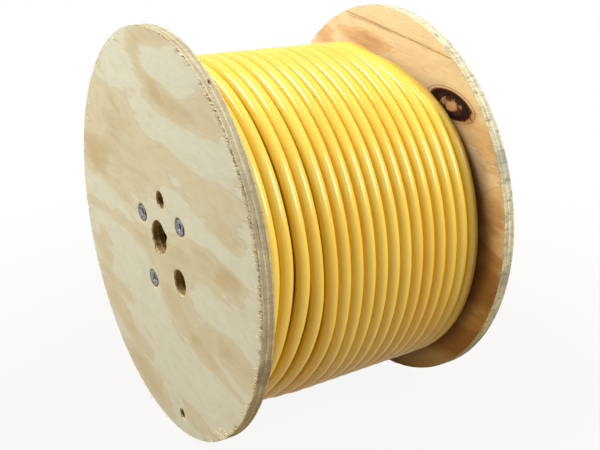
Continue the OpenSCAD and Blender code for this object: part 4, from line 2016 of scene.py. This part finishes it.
@dataclass
class Staple:
    """The staple that holds the cable's outer end against the rear flange."""

    sizes: SpoolSizes
    steel: Material
    wire: float = 0.003
    bite: float = 0.012
    soft: float = 0.0007

    def build(self, outer: OuterCourse) -> Object:
        """Builds the staple over the end of the outer layer's line.

        Args:
            outer: The line of the outer layer.

        Returns:
            The staple, in its place.
        """
        s = self.sizes
        half = s.cable_d / 2 + self.wire / 2 + FIT
        end = outer.at(np.array([outer.end_angle]))[0]
        top = outer.tail_y - s.cable_d / 2 - self.wire - FIT
        deep = s.rear_in + self.bite
        w, out, low = self.wire / 2, half + self.wire / 2, half - self.wire / 2
        shape = ((-out, deep - 0.003), (-out + w * 0.5, deep), (-low, deep - 0.001),
                 (-low, top + self.wire), (low, top + self.wire), (low, deep - 0.001),
                 (out - w * 0.5, deep), (out, deep - 0.003), (out, top), (-out, top))
        bm = bmesh.new()
        rows = [[bm.verts.new((x, y, z)) for x, y in shape] for z in (-w, w)]
        bm.faces.new(rows[0])
        bm.faces.new(rows[1])
        for i in range(len(shape)):
            j = (i + 1) % len(shape)
            bm.faces.new((rows[0][i], rows[0][j], rows[1][j], rows[1][i]))
        bmesh.ops.recalc_face_normals(bm, faces=bm.faces)
        bmesh.ops.bevel(bm, geom=list(bm.edges), offset=self.soft, segments=3, profile=0.5,
                        affect="EDGES", clamp_overlap=True)
        mesh = bpy.data.meshes.new("end_staple")
        bm.to_mesh(mesh)
        bm.free()
        mesh.materials.append(self.steel)
        piece = add_piece("end_staple", mesh)
        sharpen(piece, 40.0)
        turn = Matrix.Rotation(-math.radians(outer.end_angle), 4, "Y")
        return settle(piece, Matrix.Translation((end[0], 0.0, end[2])) @ turn)


# ---------- Studio ----------
@dataclass(frozen=True)
class Lamp:
    """A soft lamp: where it stands round the spool, and how much light it gives.

    The level is the light on a surface that faces it, where 1 shows a colour as it is written.
    """

    name: str
    azimuth: float
    elevation: float
    distance: float
    wide: float
    tall: float
    level: float
    seen: bool = False

    def place(self) -> Object:
        """Puts the lamp in the scene, turned to the spool."""
        a, e = math.radians(self.azimuth), math.radians(self.elevation)
        back = Vector((math.sin(a) * math.cos(e), -math.cos(a) * math.cos(e), math.sin(e)))
        data = bpy.data.lights.new(self.name, "AREA")
        data.shape = "RECTANGLE"
        data.size, data.size_y = self.wide, self.tall
        data.energy = self.level * (math.pi * self.distance) ** 2
        lamp = put(self.name, data)
        lamp.location = back * self.distance
        lamp.rotation_mode = "QUATERNION"
        lamp.rotation_quaternion = (-back).to_track_quat("-Z", "Y")
        lamp.visible_glossy = self.seen
        return lamp


@dataclass(frozen=True)
class Viewpoint:
    """The camera: its place, its turns in degrees, and its lens."""

    at: Triple = (1.2592, -0.7220, 0.4785)
    yaw: float = -55.475
    pitch: float = 18.111
    roll: float = -0.360
    lens: float = 58.19
    sensor: float = 36.0
    shift: tuple[float, float] = (-0.0963, -0.0298)

    def place(self) -> Object:
        """Makes the camera and hands it to the scene."""
        yaw, pitch, roll = (math.radians(v) for v in (self.yaw, self.pitch, self.roll))
        ahead = Vector((math.sin(yaw) * math.cos(pitch), math.cos(yaw) * math.cos(pitch),
                        -math.sin(pitch)))
        right = Vector((math.cos(yaw), -math.sin(yaw), 0.0))
        up = right.cross(ahead)
        across = right * math.cos(roll) + up * math.sin(roll)
        above = up * math.cos(roll) - right * math.sin(roll)
        data = bpy.data.cameras.new("camera")
        data.lens, data.sensor_width = self.lens, self.sensor
        data.shift_x, data.shift_y = self.shift
        data.clip_start, data.clip_end = 0.01, 60.0
        camera = put("camera", data)
        turn = Matrix((across, above, -ahead)).transposed().to_4x4()
        camera.matrix_world = Matrix.Translation(self.at) @ turn
        bpy.context.scene.camera = camera
        return camera


@dataclass
class Studio:
    """The pale floor, the white backdrop and the lamps."""

    ground: float
    lamps: tuple[Lamp, ...]
    ambient: float = 0.02
    floor_tone: Colour = linear(168, 150, 116)
    fade: tuple[float, float] = (0.35, 1.3)
    whiten: float = 0.91
    radius: float = 12.0

    @staticmethod
    def _unlit(tree: Tree) -> Signal:
        """1 for the rays that should find plain white, 0 for those that light the spool."""
        total: Signal | float = 0.0
        for kind in ("Is Camera Ray", "Is Glossy Ray", "Is Transmission Ray"):
            total = tree.node("ShaderNodeLightPath", out=kind) + total
        return total.least(1.0)

    def _floor(self) -> Object:
        """The floor, which turns into plain white far from the spool."""
        sheet = Sheet("studio_floor")
        x, y, _ = sheet.parts(sheet.place())
        reach = (x * x + y * y) ** 0.5
        white = sheet.node("ShaderNodeEmission", None, {"Color": WHITE, "Strength": 1.0})
        matt = sheet.node("ShaderNodeBsdfDiffuse", None, {"Color": self.floor_tone})
        factor = (reach.step(*self.fade) * (1.0 - self.whiten) + self.whiten) * self._unlit(sheet)
        shader = sheet.node("ShaderNodeMixShader", None, {0: factor, 1: matt, 2: white})
        mesh = bpy.data.meshes.new("studio_floor")
        bm = bmesh.new()
        bmesh.ops.create_circle(bm, cap_ends=True, radius=self.radius, segments=96)
        bm.to_mesh(mesh)
        bm.free()
        mesh.materials.append(sheet.close(shader))
        floor = add_piece("studio_floor", mesh)
        floor.location.z = self.ground
        return floor

    def _world(self) -> None:
        """A plain white world, less bright for the rays that light the spool."""
        world = bpy.data.worlds.new("studio_world")
        bpy.context.scene.world = world
        world.use_nodes = True
        tree = Tree(world.node_tree)
        strength = self._unlit(tree) * (1.0 - self.ambient) + self.ambient
        tree.end("ShaderNodeOutputWorld", tree.node(
            "ShaderNodeBackground", None, {"Color": WHITE, "Strength": strength}))

    def build(self) -> None:
        """Puts the studio in the scene."""
        self._floor()
        self._world()
        for lamp in self.lamps:
            lamp.place()
        bpy.context.scene.view_settings.view_transform = "Standard"


# ---------- The spool ----------
PALE_VENEER = linear(221, 220, 197)
TAN_VENEER = linear(215, 205, 171)
DEEP_VENEER = linear(196, 170, 124)
WARM_VENEER = linear(240, 218, 176)
ORANGE_VENEER = linear(230, 194, 144)
# The next colour is also the colour that the painted shade low on the right of the rear flange's
# inner face darkens to.
BROWN_VENEER_AND_SHADE = linear(170, 112, 64)

FRONT_FIGURE = tuple(Patch(*row) for row in (
    (-.137, .881, .10, .09, -20, .8), (0, .732, .16, .07, -25, 1), (.252, .675, .22, .07, -8, 1),
    (.549, .71, .2, .09, -5, .6), (.24, .835, .27, .085, -8, -1.2),
    (-.503, .595, .12, .03, -30, .5), (-.64, .458, .25, .09, -5, .5),
    (-.778, .252, .22, .12, 0, .8), (-.275, .435, .3, .1, -5, .45), (-.275, .23, .25, .09, 0, .5),
    (-.53, .567, .33, .10, -8, .5), (-.31, .335, .45, .1, -3, .55), (-.86, .32, .12, .2, 0, .5),
    (.572, .343, .3, .1, 0, .35), (.71, .217, .16, .07, 0, .75), (.25, .435, .3, .06, 0, .35),
    (.64, .126, .33, .045, -6, -.8), (.31, .20, .21, .065, -12, -1.2),
    (.458, .023, .38, .075, -2, .7), (.73, 0, .12, .08, 0, .7), (-.755, .046, .3, .06, -5, -.3),
    (-.458, 0, .2, .025, -12, -.8), (-.458, .114, .25, .04, -8, .7),
    (-.343, -.069, .25, .05, -5, .55), (0, -.07, .3, .12, 0, .6), (.572, -.195, .2, .06, -5, -.8),
    (.16, -.3, .22, .07, -20, .8), (.435, -.435, .18, .05, -20, .8),
    (.778, -.366, .2, .09, -5, .7), (.526, -.34, .2, .07, 0, .6), (-.275, -.3, .35, .13, -15, -.4),
    (-.778, -.275, .12, .12, -40, .6), (-.64, -.435, .25, .05, -10, .7),
    (-.618, -.595, .22, .07, -15, .7), (-.366, -.687, .2, .06, 0, .6),
    (-.275, -.87, .28, .08, -12, .9), (.25, -.618, .35, .15, 0, -.6),
    (.435, .526, .4, .08, 0, -.8), (-.366, .778, .2, .1, 0, -.7), (.06, .945, .22, .045, -4, .9),
    (-.70, .33, .3, .07, -2, .45), (-.62, .20, .25, .06, 0, .35)))

# The broad patch low on the right, at (.75, -.45), is painted shade where the winding shades the
# face; the front flange's inner face, which takes REAR_FIGURE[4:], carries it too.
REAR_FIGURE = tuple(Patch(*row) for row in (
    (-.16, .81, .25, .05, -8, 1.1), (-.55, .80, .12, .06, -8, 1.0), (.35, .62, .3, .07, -10, .4),
    (.80, .45, .2, .08, -15, .6), (.85, .1, .2, .12, -5, .5), (.80, -.3, .25, .1, 5, .6),
    (.6, -.65, .3, .1, 8, .9), (.9, .25, .12, .3, 0, .5), (.93, -.1, .1, .3, 0, .6),
    (.2, .93, .3, .04, -8, -.8), (.75, .25, .2, .05, -8, -.6), (.75, -.45, .5, .32, -12, 1.1),
    (.86, -.12, .22, .05, -14, .7)))


@dataclass
class Spool:
    """Builds every piece of the spool and ties it to its CAD nodes."""

    sizes: SpoolSizes = SpoolSizes()
    outer: OuterCourse = OuterCourse(SpoolSizes())

    def _bores(self, nuts: bool) -> tuple[Bore, ...]:
        """The holes of one flange.

        Args:
            nuts: Whether it takes the tee nuts, as the front flange does, or the bolts' heads.

        Returns:
            The holes.
        """
        s, t = self.sizes, self.sizes.ply_t
        torn = (Notch(18.0, 12.0, 0.005), Notch(-70.0, 22.0, 0.0022, True),
                Notch(-118.0, 16.0, 0.0028, True), Notch(-20.0, 9.0, 0.0016, True),
                Notch(150.0, 12.0, 0.0012, True)) if nuts else ()
        arbor = Bore(0.0, 0.0, ((s.arbor_r, 0.0), (s.arbor_r, t)), 0.0007, torn, 0.012, 240,
                     0.0030)
        holes = [arbor, self._hole(s.drive_at, s.drive_r, 0.0006)]
        if nuts:
            holes.append(self._hole(s.start_at, s.start_r, 0.0003))
            holes.append(self._hole(s.tie_at, s.tie_r, 0.0003))
            wide, deep = s.nut_d / 2 + 0.0005, s.nut_recess
            narrow = s.barrel_d / 2 + FIT
            crushed = (Notch(-8.0, 40.0, 0.0048),)
        else:
            wide, deep = s.washer_d / 2 + s.washer_room, s.head_recess
            narrow = s.bolt_d / 2 + FIT
            crushed = ()
        steps = ((wide, 0.0), (wide, deep), (narrow, deep), (narrow, t))
        for reach, angle in s.bolts_at:
            at = polar(reach, angle)
            holes.append(Bore(at.x, at.z, steps, 0.00025, crushed, 0.004, 144, 0.0,
                              0.0004 if nuts else 0.0))
        return tuple(holes)

    def _hole(self, at: tuple[float, float], radius: float, ragged: float) -> Bore:
        """Makes a plain drilled hole.

        Args:
            at: Its distance from the arbor axis, and its direction in degrees.
            radius: Its radius.
            ragged: How rough its wall is.

        Returns:
            The hole.
        """
        spot = polar(*at)
        collar = 0.004 if radius < 0.01 else 0.008
        torn = tuple(Notch(angle, 20.0, radius * 0.11, True) for angle in (-95.0, -45.0, 140.0))
        return Bore(spot.x, spot.z, ((radius, 0.0), (radius, self.sizes.ply_t)), ragged, torn,
                    collar, 144, min(radius * 0.12, 0.002))

    def flanges(self, slivers: Recipe) -> None:
        """Builds the two flanges and their loose fibres.

        Args:
            slivers: The recipe for torn fibres.
        """
        s = self.sizes
        face = PlywoodFace("front_veneer", PALE_VENEER, TAN_VENEER, DEEP_VENEER, FRONT_FIGURE,
                           face_y=s.front_out)
        back = PlywoodFace("front_inner_veneer", WARM_VENEER, TAN_VENEER, DEEP_VENEER,
                           REAR_FIGURE[4:], place=3.0, face_y=s.front_in)
        knot = Knot(.583, .582, .158, .068, -9)
        cracks = (Crack(-.34, .948, .60, .797, .004),
                  Crack(-.30, .925, .12, .872, .002, .0008, .45))
        # The rear flange's inner face gets painted shade beside the winding, low on the right, and
        # the painted shade of REAR_FIGURE's broad lower-right patch.
        seen = PlywoodFace(
            "rear_veneer", WARM_VENEER, ORANGE_VENEER, BROWN_VENEER_AND_SHADE, REAR_FIGURE,
            place=7.0, knots=(knot,), cracks=cracks, face_y=s.rear_in,
            bias=-0.05, outline=0.07, streaks=0.42, rub_and_painted_shade=0.6)
        away = PlywoodFace(
            "rear_outer_veneer", PALE_VENEER, TAN_VENEER, DEEP_VENEER,
            tuple(Patch(-p.z, p.x, p.long, p.wide, p.turn, p.amount)
                  for p in FRONT_FIGURE[::2]), place=11.0, face_y=s.rear_out)
        plies = Flange.plies
        front_edge = PlywoodEdge(
            "front_edge", s.front_out, plies,
            tones((210, 198, 164), (186, 172, 138), (204, 192, 156), (180, 168, 134),
                  (206, 194, 158)),
            (Stain(-20, 0.030, 0.65), Stain(-33, 0.05, 0.3), Stain(-70, 0.09, 0.3)),
            linear(124, 112, 90), linear(112, 92, 64))
        # The rear rim's tones are paler than the front rim's: partly its own paler weathered wood,
        # partly painted light where the rim catches more light.
        rear_edge = PlywoodEdge(
            "rear_edge", s.rear_in, plies,
            tones((226, 214, 176), (208, 202, 168), (230, 218, 182), (206, 200, 168),
                  (228, 216, 180)),
            (Stain(-45, 0.10, 0.4), Stain(22, 0.03, 0.7), Stain(-12, 0.035, 0.6)),
            linear(146, 148, 134), linear(146, 134, 104), 0.7, 60.0, 0.75)
        # The holes' walls take darker, browner copies of the rim's tones with a heavy dark brown
        # mottle: the drilled wood's own colour with painted shade inside the holes over it.
        drilled_and_shaded = tones((206, 178, 122), (170, 140, 84), (196, 166, 108), (160, 130, 76),
                        (198, 168, 112))
        front_bore, rear_bore = (
            PlywoodEdge(name, face_y, plies, drilled_and_shaded, (), linear(84, 60, 34), linear(92, 66, 38),
                        0.6, 120.0)
            for name, face_y in (("front_bore", s.front_out), ("rear_bore", s.rear_in)))
        fibre = Moulded("torn_wood", linear(228, 213, 170), 0.8).make()
        front = Flange(
            "front_disc", s, -1, 11, self._bores(True),
            (face.make(), back.make(), front_edge.make(), front_bore.make()), fibre,
            Tears(260, 3, 20.0, 34.0, 0.28, 0.0125, 0.0018,
                  ((8, -53.0, 4.0, 0.022), (3, 118.0, 5.0, 0.026), (3, 152.0, 3.0, 0.020))),
            Tears(90, 4, 0.0, 60.0, 0.8), (Void(56.0, 0.0116, 0.0042, 0.0016, 0.006),))
        rear = Flange(
            "rear_disc", s, 1, 23, self._bores(False),
            (away.make(), seen.make(), rear_edge.make(), rear_bore.make()), fibre,
            Tears(90, 7, 0.0, 60.0, 0.8), Tears(60, 8, 20.0, 50.0, 0.6, 0.009, 0.0006))
        for flange, node, slot in ((front, "front_flange", "plywood_front"),
                                   (rear, "rear_flange", "plywood_rear")):
            hand_over(flange.build(), slot, node)
            hand_over(flange.loose_fibres(slivers, SHORT_FIBRE), slot)
            if flange.outer_tears.tufts:
                hand_over(flange.loose_fibres(slivers, TUFT_FIBRE), slot)

    def fastenings(self, tube: Recipe, array: Recipe) -> None:
        """Builds the tie bolts with their washers and tee nuts.

        Args:
            tube: The recipe for round tubes.
            array: The recipe for copies round an axis.
        """
        zinc = PlainMetal("zinc_plate", linear(150, 150, 158), linear(84, 82, 92), 0.42).make()
        for number in range(len(self.sizes.bolts_at)):
            made = ((TieBolt(self.sizes, zinc).build(number, tube), "tie_bolt_"),
                    (Washer(self.sizes, zinc).build(number), "bolt_washer_"),
                    (TeeNut(self.sizes, zinc).build(number, array), "tee_nut_"))
            for piece, node in made:
                hand_over(piece, "zinc_steel", f"{node}{number + 1}")

    def cable(self, tube: Recipe) -> None:
        """Winds the cable: its outer layer, the layers below it, its inner end and its cut ends.

        Args:
            tube: The recipe for round tubes.
        """
        gold, amber = linear(240, 208, 84), linear(237, 190, 54)
        jacket = CableJacket("cable_jacket", gold, amber).make()
        dull = CableJacket("inner_cable_jacket", gold, amber, 0.08).make()
        winding = Winding(self.sizes, self.outer, jacket, dull)
        turns, line = winding.build_outer(tube)
        hand_over(turns, "cable_jacket", "cable_outer_layer")
        hand_over(winding.build_inner(tube), "cable_jacket", "cable_inner_layers")
        start, tip, aside = winding.build_start(tube)
        hand_over(start, "cable_jacket", "cable_inner_end")
        self._cut_ends(tube, tip, aside, line)

    def _cut_ends(self, tube: Recipe, tip: Array, aside: Array, line: Array) -> None:
        """Builds the cores in the cable's two cut ends.

        Args:
            tube: The recipe for round tubes.
            tip: Where the inner end is cut.
            aside: The way that the inner end points.
            line: The outer layer's line, up to the outer end.
        """
        cores = tuple(Moulded(name, colour, 0.4).make() for name, colour in (
            ("core_black", linear(32, 32, 34)), ("core_white", linear(226, 226, 220)),
            ("core_green", linear(40, 122, 66))))
        copper = PlainMetal("copper_strand", linear(214, 136, 92), linear(180, 104, 66),
                            0.35).make()
        filler = Moulded("core_filler", linear(206, 190, 158), 0.85).make()
        cut = CutEnd(self.sizes, cores, copper, filler)
        for name, at, heading in (("inner_cut", tip, aside),
                                  ("outer_cut", line[-1], line[-1] - line[-2])):
            hand_over(cut.build(name, at, heading, tube), "cable_jacket")

    def staple(self) -> None:
        """Builds the staple over the cable's outer end."""
        steel = PlainMetal(
            "staple_wire", linear(150, 152, 154), linear(112, 110, 106), 0.42).make()
        hand_over(Staple(self.sizes, steel).build(self.outer), "staple_steel", "cable_end_staple")

    @staticmethod
    def drum() -> None:
        """Gives the drum's CAD solid its board finish."""
        board = FibreBoard().make()
        tube = bpy.data.objects["drum_tube"]
        tube.data.materials.clear()
        tube.data.materials.append(board)
        log.info("%s: its CAD solid, in fibre board", tube.name)


def main() -> None:
    """Sets the camera, loads the frame, and builds the spool and its studio in order."""
    logging.basicConfig(level=logging.INFO, format="%(name)s: %(message)s")
    Viewpoint().place()
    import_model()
    tube, array, slivers = sweep_recipe(), array_recipe(), sliver_recipe()
    spool = Spool()
    spool.cable(tube)
    spool.flanges(slivers)
    spool.fastenings(tube, array)
    spool.staple()
    spool.drum()
    Studio(-spool.sizes.flange_r, (
        Lamp("left_lamp", -32.0, 57.0, 2.6, 1.2, 1.1, 0.94, seen=True),
        Lamp("right_lamp", 122.0, 33.0, 2.6, 0.8, 1.1, 0.80, seen=True),
        Lamp("front_lamp", -20.0, 15.0, 2.6, 1.2, 1.2, 0.33),
        Lamp("back_lamp", 165.0, 60.0, 2.6, 1.4, 1.4, 0.36))).build()


if __name__ == "__main__":
    main()
